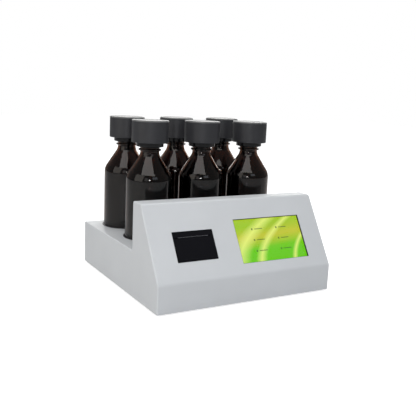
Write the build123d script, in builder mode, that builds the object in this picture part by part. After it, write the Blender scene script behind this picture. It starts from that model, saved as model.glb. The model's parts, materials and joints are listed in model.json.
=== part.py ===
from build123d import *
import math
import os

os.makedirs("parts", exist_ok=True)

# Frame: X to the right, Y to the back and Z up, seen from the front panel. The origin lies on the bench
# under the middle of the casing. All sizes are in millimetres.

# Casing of bent and painted sheet
case_width = 376.0
case_depth = 370.0
deck_rise = 87.0
ridge_rise = 178.0
band_rise = 51.0
deck_length = 258.5
ridge_land = 32.5
sheet = 2.0
band_bend = 14.0
ridge_front_bend = 7.0
ridge_back_bend = 3.5
rear_bend = 3.0
wall_foot_bend = 2.0
side_edge_radius = 2.4
fit_gap = 0.3
slide_gap = 0.2

# Screw blocks inside the casing, feet and fasteners
block_size = 14.0
block_height = 12.0
block_inset = 35.0
screw_radius = 1.9
screw_length = 12.0
screw_head_radius = 3.6
screw_head_height = 2.2
tapped_gap = 0.1
through_gap = 0.4
foot_height = 3.0
foot_radius = 10.0
foot_stem_radius = 3.0
foot_head_radius = 4.6
foot_head_height = 2.0
foot_inset_x = 28.0
foot_inset_y = 30.0

# Six bottle stations
column_spacing = 115.5
row_spacing = 115.0
rear_row_inset = 53.0
columns = 3
rows = 2

# Amber glass bottle
bottle_radius = 45.5
bottle_wall = 3.2
bottle_floor = 4.5
bottle_heel = 5.0
punt_radius = 33.0
punt_depth = 1.5
body_height = 132.0
cone_height = 41.5
neck_height = 40.3
shoulder_bend = 30.0
cone_bend = 18.0
neck_radius = 18.5
mouth_radius = 15.0
finish_radius = 20.8
finish_height = 27.0
bead_radius = 22.0
bead_height = 3.0
bead_drop = 31.0
thread_depth = 1.5
thread_pitch = 5.0
thread_turns = 3
thread_drop = 6.0

# Seat ring in the deck that each bottle stands in
seat_depth = 10.0
seat_floor = 2.5
seat_wall = 1.1
seat_side_gap = 0.7
seat_lip_width = 1.2
seat_lip_height = 2.0

# Rubber alkali cup in the bottle mouth
cup_flange = 2.0
cup_flange_radius = 20.5
cup_length = 48.0
cup_wall = 2.6
cup_floor = 2.0
cup_side_gap = 0.4
cup_window_width = 6.0
cup_window_height = 10.0
cup_window_drop = 6.0
cup_windows = 4

# Pressure head that screws on the bottle
head_radius = 36.0
head_height = 43.0
head_wall = 2.6
head_floor = 3.0
head_chamber = 17.6
head_cover = 3.0
head_base = 3.0
head_edge = 1.2
seam_edge = 0.35
collar_radius = 26.5
collar_height = 8.0
collar_gap = 0.5
port_radius = 3.0

# Sensor module under the head's cover
spigot_height = 4.0
spigot_wall = 2.2
board_thickness = 1.6
sensor_board_radius = 28.0
sensor_can_radius = 6.0
sensor_can_height = 4.4
nozzle_length = 2.6
nozzle_gap = 0.4
cell_radius = 12.0
cell_thickness = 5.0
post_radius = 2.0
post_circle = 22.0
posts = 3

# Stirring drive under each station
stir_bar_length = 34.0
stir_bar_radius = 4.2
stir_ring_radius = 5.0
stir_ring_width = 3.0
magnet_gap = 2.0
magnet_radius = 6.0
magnet_height = 4.0
magnet_circle = 14.0
hub_radius = 22.0
hub_height = 5.0
hub_gap = 2.5
shaft_radius = 1.5
shaft_gap = 0.06
motor_radius = 13.8
motor_height = 31.0
motor_nose_radius = 5.0
shaft_reach = 26.0
bracket_sheet = 1.6
bracket_length = 290.0
bracket_width = 34.0
bracket_toe = 14.0

# Seven inch touch display behind its window in the sloping panel
screen_width = 152.4
screen_height = 86.4
screen_x = 67.0
panel_centre_drop = 84.5
window_corner = 1.0
gasket_margin = 4.5
gasket_thickness = 1.5
glass_margin = 5.5
glass_thickness = 1.8
lcd_margin = 6.5
lcd_thickness = 6.5
lcd_edge = 0.8
ear_size = 11.0
ear_thickness = 1.5
display_stud_rows = 68.0
display_board_size = (112.0, 64.0)
display_spacer_height = 3.0
display_spacer_radius = 2.5
display_spacer_inset = 5.0
display_chip = 18.0
chip_height = 1.8

# Welded studs and nuts behind the sloping panel
stud_radius = 1.5
stud_spare = 1.2
nut_radius = 3.2
nut_height = 2.4

# Panel printer for 58 mm paper
printer_width = 82.4
printer_height = 56.8
printer_x = -99.5
printer_fit = 0.3
printer_proud = 0.4
printer_bezel = 3.2
printer_head_strip = 10.6
printer_flange = 2.0
printer_flange_side = 12.0
printer_flange_rise = 3.0
printer_stud_rows = 40.0
printer_depth = 46.5
printer_wall = 2.0
printer_inset = 3.0
bucket_width = 69.0
door_gap = 0.4
door_thickness = 3.0
hinge_pin_radius = 0.8
hinge_pin_length = 1.6
platen_radius = 4.0
platen_length = 58.0
platen_shaft_radius = 1.5
platen_drop = 5.0
platen_setback = 8.0
platen_gear_radius = 3.4
platen_gear_width = 1.4
platen_gear_teeth = 16
platen_tooth = (0.9, 0.5)
arm_thickness = 2.2
arm_radius = 3.4
arm_gap = 0.3
paper_width = 57.0
paper_radius = 15.0
paper_core_radius = 6.5
paper_core_wall = 1.4
paper_core_spare = 0.5
paper_setback = 27.6
paper_rise = 1.0
paper_hub_length = 10.0
tear_bar_width = 61.0
tear_bar_height = 0.9
tear_bar_depth = 4.0
tear_bar_proud = 0.5
thermal_head_height = 9.0
thermal_head_depth = 4.0
thermal_head_gap = 0.3

# Boards and supply on the base plate
standoff_radius = 3.0
standoff_height = 6.0
board_screw_radius = 1.5
board_screw_length = 6.0
board_screw_head = 2.8
main_board_size = (170.0, 92.0)
main_board_x = 66.0
main_board_setback = 77.0
main_board_hole_inset = 6.0
driver_chip = (8.0, 10.0)
driver_pitch = 22.0
driver_count = 6
driver_row = 20.0
socket_size = (10.0, 6.0)
socket_height = 8.0
socket_row = 38.0
capacitor_radius = 5.0
capacitor_height = 14.0
capacitor_places = [(-70.0, -8.0), (-70.0, -22.0), (-56.0, -22.0)]
processor_size = 22.0
processor_place = (34.0, -14.0)
supply_size = (104.0, 92.0)
supply_height = 36.0
supply_wall = 1.5
supply_x = -101.0
supply_setback = 73.0
supply_vent_rows = 5
supply_vent_columns = 7
supply_vent_radius = 2.2
supply_vent_pitch = 10.0
transformer_size = (38.0, 34.0)
transformer_height = 24.0
transformer_place = (-22.0, 0.0)
supply_capacitor_radius = 9.0
supply_capacitor_height = 26.0
supply_capacitor_rows = 26.0
supply_capacitor_across = 24.0
ribbon_across = 40.0
ribbon_drop = 15.0
ribbon_landing = -4.0
ribbon_width = 26.0
ribbon_thickness = 1.0
ribbon_bend = 18.0
ribbon_socket = (29.0, 6.0)
ribbon_socket_height = 6.0

# Rear panel with inlet, switch, data port and vents
rear_inset = 2.0
rear_flange_height = 12.0
rear_flange_length = 300.0
rear_screw_spacing = 276.0
rear_screw_radius = 1.5
rear_screw_length = 7.0
rear_screw_head = 3.0
rear_screw_rise = 6.0
connector_rise = 42.0
connector_flange = 1.6
cutout_gap = 0.2
inlet_x = 150.0
inlet_body = (27.4, 19.8)
inlet_flange = (31.0, 24.0)
inlet_cavity = (24.6, 16.4)
inlet_corner = 4.0
inlet_depth = 22.0
inlet_cavity_depth = 17.0
inlet_pin = (2.0, 4.0)
inlet_pin_length = 12.0
inlet_pin_spacing = 7.0
inlet_earth_rise = 3.0
switch_x = 104.0
switch_body_size = (13.0, 19.2)
switch_bezel = (15.0, 21.4)
switch_depth = 15.0
switch_pocket = (10.2, 17.8)
switch_pocket_depth = 11.0
rocker_width = 9.6
rocker_half = 8.2
rocker_wing = 3.4
rocker_waist = 2.0
rocker_root = (3.0, 5.0)
rocker_tilt = 10.0
rocker_setback = 4.6
rocker_pin_radius = 1.0
rocker_pin_length = 1.0
port_x = -140.0
port_body = (12.2, 11.2)
port_flange = (15.6, 14.6)
port_cavity = (8.6, 7.8)
port_tongue = (5.6, 2.6)
port_depth = 16.0
port_cavity_depth = 9.0
vent_count = 13
vent_pitch = 8.0
vent_width = 3.0
vent_height = 34.0


# Heights and depths worked out from the driving sizes
case_bottom = foot_height
plate_top = case_bottom + sheet
deck_z = case_bottom + deck_rise
ridge_z = case_bottom + ridge_rise
band_z = case_bottom + band_rise
front_y = -case_depth / 2
rear_y = case_depth / 2
wall_y = rear_y - deck_length
ridge_front_y = wall_y - ridge_land
inner_x = case_width / 2 - sheet
block_rows = (front_y + block_inset, 0.0, rear_y - block_inset)
front_row_y = rear_y - rear_row_inset - (rows - 1) * row_spacing
main_board_centre = (main_board_x, front_y + main_board_setback)
supply_centre = (supply_x, front_y + supply_setback)

glass_depth = sheet + gasket_thickness
lcd_depth = glass_depth + glass_thickness
display_board_depth = lcd_depth + lcd_thickness + display_spacer_height
main_board_z = plate_top + standoff_height
main_board_top = main_board_z + board_thickness
connector_z = plate_top + connector_rise

bottle_z = deck_z - seat_depth + slide_gap
rim_z = bottle_z + body_height + cone_height + neck_height
flange_z = rim_z + slide_gap
roof_z = flange_z + cup_flange + slide_gap
chamber_z = roof_z + head_floor
seam_z = chamber_z + head_chamber
head_top_z = seam_z + head_cover
head_bottom_z = head_top_z - head_height
collar_z = head_bottom_z - collar_height

seat_bottom_z = deck_z - seat_depth - seat_floor
seat_bore = bottle_radius + seat_side_gap
seat_radius = seat_bore + seat_wall
magnet_z = seat_bottom_z - magnet_gap - magnet_height
hub_z = magnet_z - hub_height
bracket_z = hub_z - hub_gap - bracket_sheet
motor_z = bracket_z - motor_height

stations = [
    ((column - (columns - 1) / 2) * column_spacing, front_row_y + row * row_spacing)
    for row in range(rows)
    for column in range(columns)
]

# Studs behind the sloping panel: their middle, their spacing and the depth at which their nuts seat
display_ears = (screen_width + 2 * lcd_margin + ear_size, display_stud_rows)
printer_ears = (printer_width + printer_flange_side, printer_stud_rows)
stud_groups = [
    (screen_x, display_ears, lcd_depth + ear_thickness),
    (printer_x, printer_ears, sheet + printer_flange),
]

# The sloping panel: how far up it a point lies and which way it faces
panel_up = Vector(0, ridge_front_y - front_y, ridge_z - band_z).normalized()
panel_out = Vector(0, -panel_up.Z, panel_up.Y)
panel_top = Vector(0, ridge_front_y, ridge_z)


def panel_plane(across, drop, depth=0.0):
    """A plane on the sloping panel, drop below its top corner and depth behind its face."""
    origin = panel_top + Vector(across, 0, 0) - panel_up * drop - panel_out * depth
    return Plane(origin=origin, x_dir=(1, 0, 0), z_dir=panel_out)


def panel_side_plane(across, drop):
    """A plane square to X, with its x axis out of the panel and its y axis up the slope."""
    origin = panel_top + Vector(across, 0, 0) - panel_up * drop
    return Plane(origin=origin, x_dir=panel_out, z_dir=-Vector(1, 0, 0))


def upright_plane(x, y):
    """The plane of a turned outline at a station: its x axis is the radius and its y axis the height."""
    return Plane(origin=(x, y, 0), x_dir=(1, 0, 0), z_dir=(0, -1, 0))


def upright_axis(x, y):
    """The turning axis of a station."""
    return Axis((x, y, 0), (0, 0, 1))


def round_corner(sketch, corner, radius):
    """Rounds the corner of a sketch that lies nearest to a point."""
    fillet(sketch.vertices().sort_by_distance((*corner, 0))[0], radius)


def save(builder, name):
    """Labels a finished piece and writes its file."""
    builder.part.label = name
    export_step(builder.part, f"parts/{name}.step")


# Top cover: deck, side walls, ridge, sloping panel and front band in one bent piece
case_outline = [
    (front_y, case_bottom),
    (front_y, band_z),
    (ridge_front_y, ridge_z),
    (wall_y, ridge_z),
    (wall_y, deck_z),
    (rear_y, deck_z),
    (rear_y, case_bottom),
]
case_bends = [band_bend, ridge_front_bend, ridge_back_bend, wall_foot_bend, rear_bend]
block_x = inner_x - block_size / 2
block_places = [(side * block_x, y) for side in (-1, 1) for y in block_rows]

with BuildPart() as top_cover:
    with BuildSketch(Plane.YZ) as case_profile:
        with BuildLine():
            Polyline(*case_outline, close=True)
        make_face()
        for corner, bend in zip(case_outline[1:], case_bends):
            round_corner(case_profile, corner, bend)
    extrude(amount=case_width / 2, both=True)
    side_edges = top_cover.faces().filter_by(Axis.X).edges()
    fillet(side_edges.filter_by(lambda edge: edge.center().Z > plate_top), side_edge_radius)
    with BuildSketch(Plane.YZ):
        add(case_profile.sketch_local)
        offset(amount=-sheet, mode=Mode.REPLACE)
    extrude(amount=inner_x, both=True, mode=Mode.SUBTRACT)
    with BuildSketch(Plane.XY.offset(case_bottom)):
        Rectangle(2 * inner_x, case_depth - 2 * sheet)
    extrude(amount=2 * sheet, mode=Mode.SUBTRACT)
    with BuildSketch(Plane.XZ.offset(-rear_y)):
        with Locations((0, (case_bottom + deck_z - sheet) / 2)):
            Rectangle(2 * inner_x, deck_z - sheet - case_bottom)
    extrude(amount=2 * sheet, mode=Mode.SUBTRACT)
    with BuildSketch(Plane.XY.offset(plate_top)):
        with Locations(*block_places):
            Rectangle(block_size, block_size)
    extrude(amount=block_height)
    with BuildSketch(Plane.XY.offset(plate_top)):
        with Locations(*block_places):
            Circle(screw_radius + tapped_gap)
    extrude(amount=block_height, mode=Mode.SUBTRACT)
    with BuildSketch(Plane.XY.offset(deck_z)):
        with Locations(*stations):
            Circle(seat_radius + slide_gap)
    extrude(amount=sheet, both=True, mode=Mode.SUBTRACT)
    with BuildSketch(panel_plane(screen_x, panel_centre_drop)):
        RectangleRounded(screen_width, screen_height, window_corner)
    extrude(amount=2 * sheet, both=True, mode=Mode.SUBTRACT)
    with BuildSketch(panel_plane(printer_x, panel_centre_drop)):
        RectangleRounded(printer_width, printer_height, window_corner)
    extrude(amount=2 * sheet, both=True, mode=Mode.SUBTRACT)
    for across, spacing, nut_depth in stud_groups:
        with BuildSketch(panel_plane(across, panel_centre_drop, sheet / 2)):
            with GridLocations(*spacing, 2, 2):
                Circle(stud_radius)
        extrude(amount=-(nut_depth + nut_height + stud_spare - sheet / 2))
save(top_cover, "top_cover")

# Base plate with its rear flange and the posts that carry the main board
plate_width = 2 * (inner_x - fit_gap)
plate_front = front_y + sheet + fit_gap
plate_rear = rear_y - rear_inset
flange_y = plate_rear - sheet
foot_places = [
    (side_x * (case_width / 2 - foot_inset_x), side_y * (case_depth / 2 - foot_inset_y))
    for side_x in (-1, 1)
    for side_y in (-1, 1)
]
board_holes = [
    (
        main_board_centre[0] + side_x * (main_board_size[0] / 2 - main_board_hole_inset),
        main_board_centre[1] + side_y * (main_board_size[1] / 2 - main_board_hole_inset),
    )
    for side_x in (-1, 1)
    for side_y in (-1, 1)
]
rear_screw_z = plate_top + rear_screw_rise
rear_screw_places = [(side * rear_screw_spacing / 2, rear_screw_z) for side in (-1, 1)]

with BuildPart() as base_plate:
    with BuildSketch(Plane.XY.offset(case_bottom)):
        with Locations((0, (plate_front + plate_rear) / 2)):
            Rectangle(plate_width, plate_rear - plate_front)
        with Locations(*foot_places):
            Circle(foot_stem_radius + slide_gap, mode=Mode.SUBTRACT)
        with Locations(*block_places):
            Circle(screw_radius + through_gap, mode=Mode.SUBTRACT)
    extrude(amount=sheet)
    with BuildSketch(Plane.XY.offset(plate_top)):
        with Locations((0, flange_y - sheet / 2)):
            Rectangle(rear_flange_length, sheet)
    extrude(amount=rear_flange_height)
    with BuildSketch(Plane.XY.offset(plate_top)):
        with Locations(*board_holes):
            Circle(standoff_radius)
            Circle(board_screw_radius + tapped_gap, mode=Mode.SUBTRACT)
    extrude(amount=standoff_height)
    with BuildSketch(Plane.XZ.offset(-flange_y)):
        with Locations(*rear_screw_places):
            Circle(rear_screw_radius + tapped_gap)
    extrude(amount=sheet, mode=Mode.SUBTRACT)
save(base_plate, "base_plate")

# Rear panel
rear_panel_top = deck_z - sheet - fit_gap

with BuildPart() as rear_panel:
    with BuildSketch(Plane.XZ.offset(-plate_rear)):
        with Locations((0, (plate_top + rear_panel_top) / 2)):
            Rectangle(plate_width, rear_panel_top - plate_top)
        with Locations((inlet_x, connector_z)):
            Rectangle(inlet_body[0] + 2 * cutout_gap, inlet_body[1] + 2 * cutout_gap, mode=Mode.SUBTRACT)
        with Locations((switch_x, connector_z)):
            Rectangle(
                switch_body_size[0] + 2 * cutout_gap,
                switch_body_size[1] + 2 * cutout_gap,
                mode=Mode.SUBTRACT,
            )
        with Locations((port_x, connector_z)):
            Rectangle(port_body[0] + 2 * cutout_gap, port_body[1] + 2 * cutout_gap, mode=Mode.SUBTRACT)
        with Locations((0, connector_z)), GridLocations(vent_pitch, vent_pitch, vent_count, 1):
            SlotOverall(vent_height, vent_width, rotation=90, mode=Mode.SUBTRACT)
        with Locations(*rear_screw_places):
            Circle(rear_screw_radius + through_gap, mode=Mode.SUBTRACT)
    extrude(amount=sheet)
save(rear_panel, "rear_panel")

# Four rubber feet pushed through the base plate
foot_outline = [
    (0, 0),
    (foot_radius, 0),
    (foot_radius, case_bottom),
    (foot_stem_radius, case_bottom),
    (foot_stem_radius, plate_top),
    (foot_head_radius, plate_top),
    (foot_stem_radius, plate_top + foot_head_height),
    (0, plate_top + foot_head_height),
]

with BuildPart() as feet:
    for x, y in foot_places:
        with BuildSketch(upright_plane(x, y)) as foot_profile:
            with BuildLine():
                Polyline(*foot_outline, close=True)
            make_face()
        revolve(axis=upright_axis(x, y))
save(feet, "feet")

# Screws of the base plate, the rear panel and the main board, and the nuts on the panel's studs
with BuildPart() as fasteners:
    with BuildSketch(Plane.XY.offset(case_bottom)):
        with Locations(*block_places):
            Circle(screw_head_radius)
    extrude(amount=-screw_head_height)
    with BuildSketch(Plane.XY.offset(case_bottom)):
        with Locations(*block_places):
            Circle(screw_radius)
    extrude(amount=screw_length)
    with BuildSketch(Plane.XY.offset(case_bottom - screw_head_height)):
        with Locations(*block_places):
            SlotOverall(1.4 * screw_head_radius, 0.8)
    extrude(amount=screw_head_height / 2, mode=Mode.SUBTRACT)
    with BuildSketch(Plane.XZ.offset(-plate_rear)):
        with Locations(*rear_screw_places):
            Circle(rear_screw_head)
    extrude(amount=-(rear_inset - slide_gap))
    with BuildSketch(Plane.XZ.offset(-plate_rear)):
        with Locations(*rear_screw_places):
            Circle(rear_screw_radius)
    extrude(amount=rear_screw_length)
    with BuildSketch(Plane.XY.offset(main_board_top)):
        with Locations(*board_holes):
            Circle(board_screw_head)
    extrude(amount=screw_head_height)
    with BuildSketch(Plane.XY.offset(main_board_top)):
        with Locations(*board_holes):
            Circle(board_screw_radius)
    extrude(amount=-board_screw_length)
    for across, spacing, nut_depth in stud_groups:
        with BuildSketch(panel_plane(across, panel_centre_drop, nut_depth)):
            with GridLocations(*spacing, 2, 2):
                RegularPolygon(nut_radius, 6)
                Circle(stud_radius + tapped_gap, mode=Mode.SUBTRACT)
        extrude(amount=-nut_height)
save(fasteners, "fasteners")

# Seat rings in the deck
seat_outline = [
    (0, seat_bottom_z),
    (seat_radius, seat_bottom_z),
    (seat_radius, deck_z),
    (seat_radius + seat_lip_width, deck_z),
    (seat_radius + seat_lip_width, deck_z + seat_lip_height / 2),
    (seat_bore, deck_z + seat_lip_height),
    (seat_bore, deck_z - seat_depth),
    (0, deck_z - seat_depth),
]

with BuildPart() as bottle_seats:
    for x, y in stations:
        with BuildSketch(upright_plane(x, y)):
            with BuildLine():
                Polyline(*seat_outline, close=True)
            make_face()
        revolve(axis=upright_axis(x, y))
save(bottle_seats, "bottle_seats")

# Motors that hang under the brackets
with BuildPart() as stir_motors:
    with BuildSketch(Plane.XY.offset(motor_z)):
        with Locations(*stations):
            Circle(motor_radius)
    extrude(amount=motor_height)
    with BuildSketch(Plane.XY.offset(bracket_z)):
        with Locations(*stations):
            Circle(motor_nose_radius)
    extrude(amount=bracket_sheet)
    with BuildSketch(Plane.XY.offset(bracket_z + bracket_sheet)):
        with Locations(*stations):
            Circle(shaft_radius + shaft_gap)
    extrude(amount=-(bracket_sheet + shaft_reach), mode=Mode.SUBTRACT)
save(stir_motors, "stir_motors")

# Two bridges of bent sheet, one under each row, that carry the motors
leg_x = bracket_length / 2 - bracket_sheet / 2
toe_x = bracket_length / 2 + bracket_toe / 2

with BuildPart() as motor_brackets:
    for row in range(rows):
        row_y = front_row_y + row * row_spacing
        row_stations = stations[row * columns : (row + 1) * columns]
        with BuildSketch(Plane.XZ.offset(-row_y)):
            with Locations((0, bracket_z + bracket_sheet / 2)):
                Rectangle(bracket_length, bracket_sheet)
            with Locations((-leg_x, (plate_top + bracket_z) / 2), (leg_x, (plate_top + bracket_z) / 2)):
                Rectangle(bracket_sheet, bracket_z - plate_top)
            with Locations((-toe_x, plate_top + bracket_sheet / 2), (toe_x, plate_top + bracket_sheet / 2)):
                Rectangle(bracket_toe, bracket_sheet)
        extrude(amount=bracket_width / 2, both=True)
        with BuildSketch(Plane.XY.offset(bracket_z)):
            with Locations(*row_stations):
                Circle(motor_nose_radius + slide_gap)
        extrude(amount=bracket_sheet, mode=Mode.SUBTRACT)
save(motor_brackets, "motor_brackets")

# Outlines of the turned pieces at one station, as radius and height
inner_radius = bottle_radius - bottle_wall
neck_z = bottle_z + body_height + cone_height
finish_z = rim_z - finish_height
glass_outline = [
    (0, bottle_z + punt_depth),
    (punt_radius, bottle_z + punt_depth),
    (punt_radius + 2 * punt_depth, bottle_z),
    (bottle_radius, bottle_z),
    (bottle_radius, bottle_z + body_height),
    (neck_radius, neck_z),
    (neck_radius, finish_z),
    (finish_radius, finish_z),
    (finish_radius, rim_z),
    (0, rim_z),
]
hollow_outline = [
    (0, bottle_z + bottle_floor),
    (inner_radius, bottle_z + bottle_floor),
    (inner_radius, bottle_z + body_height - bottle_wall / 2),
    (mouth_radius, neck_z - bottle_wall / 2),
    (mouth_radius, rim_z),
    (0, rim_z),
]
bead_z = rim_z - bead_drop
socket_radius = finish_radius + thread_depth + collar_gap
shell_outline = [
    (socket_radius, collar_z),
    (collar_radius, collar_z),
    (collar_radius, head_bottom_z),
    (head_radius, head_bottom_z),
    (head_radius, seam_z),
    (head_radius - head_wall, seam_z),
    (head_radius - head_wall, head_bottom_z + head_base),
    (collar_radius, head_bottom_z + head_base),
    (collar_radius, chamber_z),
    (port_radius, chamber_z),
    (port_radius, roof_z),
    (socket_radius, roof_z),
]
cup_radius = mouth_radius - cup_side_gap
cup_bore = cup_radius - cup_wall
cup_bottom_z = flange_z - cup_length
cup_outline = [
    (0, cup_bottom_z),
    (cup_radius, cup_bottom_z),
    (cup_radius, flange_z),
    (cup_flange_radius, flange_z),
    (cup_flange_radius, flange_z + cup_flange),
    (cup_bore, flange_z + cup_flange),
    (cup_bore, cup_bottom_z + cup_floor),
    (0, cup_bottom_z + cup_floor),
]
spigot_radius = head_radius - head_wall - fit_gap
sensor_board_z = chamber_z + slide_gap + sensor_can_height
cell_z = sensor_board_z + board_thickness
nozzle_radius = port_radius - nozzle_gap
stir_z = bottle_z + bottle_floor + slide_gap + stir_ring_radius
stir_cylinder = stir_bar_length / 2 - stir_bar_radius

for number, (x, y) in enumerate(stations, start=1):
    outline_plane = upright_plane(x, y)
    axis = upright_axis(x, y)

    # Amber bottle with its neck bead and plain thread rings
    with BuildPart() as bottle:
        with BuildSketch(outline_plane) as glass_profile:
            with BuildLine():
                Polyline(*glass_outline, close=True)
            make_face()
            round_corner(glass_profile, (bottle_radius, bottle_z), bottle_heel)
            round_corner(glass_profile, (bottle_radius, bottle_z + body_height), shoulder_bend)
            round_corner(glass_profile, (neck_radius, neck_z), cone_bend)
        revolve(axis=axis)
        with BuildSketch(outline_plane):
            with Locations((bead_radius - bead_height / 2, bead_z)):
                Circle(bead_height / 2)
            with Locations(((neck_radius + bead_radius) / 2 - bead_height / 2, bead_z)):
                Rectangle(bead_radius - neck_radius, bead_height)
        revolve(axis=axis)
        with BuildSketch(outline_plane):
            for turn in range(thread_turns):
                ring_z = rim_z - thread_drop - turn * thread_pitch
                with Locations((finish_radius, ring_z)):
                    Trapezoid(3 * thread_depth, 2 * thread_depth, 60, rotation=-90)
        revolve(axis=axis)
        with BuildSketch(outline_plane) as hollow_profile:
            with BuildLine():
                Polyline(*hollow_outline, close=True)
            make_face()
            round_corner(hollow_profile, hollow_outline[1], bottle_heel)
            round_corner(hollow_profile, hollow_outline[2], shoulder_bend - bottle_wall)
            round_corner(hollow_profile, hollow_outline[3], cone_bend)
        revolve(axis=axis, mode=Mode.SUBTRACT)
    save(bottle, f"bottle_{number}")

    # Rubber cup that hangs in the bottle mouth and holds the alkali, with gas windows in its wall
    with BuildPart() as alkali_cup:
        with BuildSketch(outline_plane):
            with BuildLine():
                Polyline(*cup_outline, close=True)
            make_face()
        revolve(axis=axis)
        window_z = flange_z - cup_window_drop - cup_window_height
        with BuildSketch(Plane(origin=(x, y, window_z))):
            with PolarLocations(cup_radius, cup_windows):
                Rectangle(2 * cup_wall + 1, cup_window_width)
        extrude(amount=cup_window_height, mode=Mode.SUBTRACT)
    save(alkali_cup, f"alkali_cup_{number}")

    # Screw-on shell of the pressure head
    with BuildPart() as head_shell:
        with BuildSketch(outline_plane) as shell_profile:
            with BuildLine():
                Polyline(*shell_outline, close=True)
            make_face()
            round_corner(shell_profile, (head_radius, head_bottom_z), head_edge)
            round_corner(shell_profile, (collar_radius, collar_z), head_edge)
            chamfer(
                shell_profile.vertices().sort_by_distance((head_radius, seam_z, 0))[0],
                seam_edge,
            )
        revolve(axis=axis)
    save(head_shell, f"head_shell_{number}")

    # Head cover that carries the sensor board, the pressure sensor and the cell
    with BuildPart() as sensor_module:
        with BuildSketch(outline_plane) as cover_profile:
            with Locations((head_radius / 2, seam_z + head_cover / 2)):
                Rectangle(head_radius, head_cover)
            round_corner(cover_profile, (head_radius, head_top_z), head_edge)
            chamfer(
                cover_profile.vertices().sort_by_distance((head_radius, seam_z, 0))[0],
                seam_edge,
            )
            with Locations((spigot_radius - spigot_wall / 2, seam_z - spigot_height / 2)):
                Rectangle(spigot_wall, spigot_height)
        revolve(axis=axis)
        with BuildSketch(Plane(origin=(x, y, cell_z))):
            with PolarLocations(post_circle, posts):
                Circle(post_radius)
        extrude(until=Until.NEXT)
        with BuildSketch(Plane(origin=(x, y, sensor_board_z))):
            Circle(sensor_board_radius)
        extrude(amount=board_thickness)
        with BuildSketch(Plane(origin=(x, y, cell_z))):
            Circle(cell_radius)
        extrude(amount=cell_thickness)
        with BuildSketch(Plane(origin=(x, y, sensor_board_z))):
            Circle(sensor_can_radius)
        extrude(amount=-sensor_can_height)
        with BuildSketch(Plane(origin=(x, y, sensor_board_z - sensor_can_height))):
            Circle(nozzle_radius)
        extrude(amount=-nozzle_length)
    save(sensor_module, f"sensor_module_{number}")

    # Stir bar with its pivot ring, lying on the bottle floor
    with BuildPart() as stir_bar:
        with BuildSketch(Plane(origin=(x, y, stir_z), x_dir=(1, 0, 0), z_dir=(0, -1, 0))):
            with BuildLine():
                Line((-stir_bar_length / 2, 0), (stir_bar_length / 2, 0))
                CenterArc((stir_cylinder, 0), stir_bar_radius, 0, 90)
                Line((stir_cylinder, stir_bar_radius), (-stir_cylinder, stir_bar_radius))
                CenterArc((-stir_cylinder, 0), stir_bar_radius, 90, 90)
            make_face()
            with Locations((0, stir_ring_radius / 2)):
                Rectangle(stir_ring_width, stir_ring_radius)
        revolve(axis=Axis((x, y, stir_z), (1, 0, 0)))
    save(stir_bar, f"stir_bar_{number}")

    # Hub, shaft and two magnets that turn under the seat
    with BuildPart() as rotor_hub:
        with BuildSketch(Plane(origin=(x, y, hub_z))):
            Circle(hub_radius)
        extrude(amount=hub_height)
        with BuildSketch(Plane(origin=(x, y, hub_z))):
            Circle(shaft_radius)
        extrude(amount=-(hub_gap + bracket_sheet + shaft_reach - 2 * slide_gap))
    with BuildPart() as magnets:
        with BuildSketch(Plane(origin=(x, y, magnet_z))):
            with Locations((-magnet_circle, 0), (magnet_circle, 0)):
                Circle(magnet_radius)
        extrude(amount=magnet_height)
    rotor = Compound(label=f"rotor_{number}", children=[rotor_hub.part.solid(), *magnets.part.solids()])
    export_step(rotor, f"parts/rotor_{number}.step")

# Rubber gasket between the sloping panel and the touch glass
with BuildPart() as screen_gasket:
    with BuildSketch(panel_plane(screen_x, panel_centre_drop, sheet)):
        Rectangle(screen_width + 2 * gasket_margin, screen_height + 2 * gasket_margin)
        Rectangle(screen_width + 2 * window_corner, screen_height + 2 * window_corner, mode=Mode.SUBTRACT)
    extrude(amount=-gasket_thickness)
save(screen_gasket, "screen_gasket")

# Touch glass
with BuildPart() as touch_glass:
    with BuildSketch(panel_plane(screen_x, panel_centre_drop, glass_depth)):
        RectangleRounded(screen_width + 2 * glass_margin, screen_height + 2 * glass_margin, window_corner)
    extrude(amount=-glass_thickness)
save(touch_glass, "touch_glass")

# Display case with four ears on the studs and spacers for its board
display_spacers = (
    display_board_size[0] - 2 * display_spacer_inset,
    display_board_size[1] - 2 * display_spacer_inset,
)

with BuildPart() as display_module:
    with BuildSketch(panel_plane(screen_x, panel_centre_drop, lcd_depth)):
        Rectangle(screen_width + 2 * lcd_margin, screen_height + 2 * lcd_margin)
    extrude(amount=-lcd_thickness)
    chamfer(display_module.faces().sort_by(Axis((0, 0, 0), panel_out))[0].edges(), lcd_edge)
    with BuildSketch(panel_plane(screen_x, panel_centre_drop, lcd_depth)):
        with GridLocations(*display_ears, 2, 2):
            Rectangle(ear_size, ear_size)
            Circle(stud_radius + through_gap, mode=Mode.SUBTRACT)
    extrude(amount=-ear_thickness)
    with BuildSketch(panel_plane(screen_x, panel_centre_drop, lcd_depth + lcd_thickness)):
        with GridLocations(*display_spacers, 2, 2):
            Circle(display_spacer_radius)
    extrude(amount=-display_spacer_height)
save(display_module, "display_module")

# Controller board behind the display, with its chip and the socket of the flat cable
with BuildPart() as display_board:
    with BuildSketch(panel_plane(screen_x, panel_centre_drop, display_board_depth)):
        Rectangle(*display_board_size)
    extrude(amount=-board_thickness)
    with BuildSketch(panel_plane(screen_x, panel_centre_drop, display_board_depth + board_thickness)):
        Rectangle(display_chip, display_chip)
    extrude(amount=-chip_height)
    with BuildSketch(
        panel_plane(ribbon_across, panel_centre_drop + ribbon_drop, display_board_depth + board_thickness)
    ):
        Rectangle(*ribbon_socket)
    extrude(amount=-ribbon_socket_height)
save(display_board, "display_board")

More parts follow.
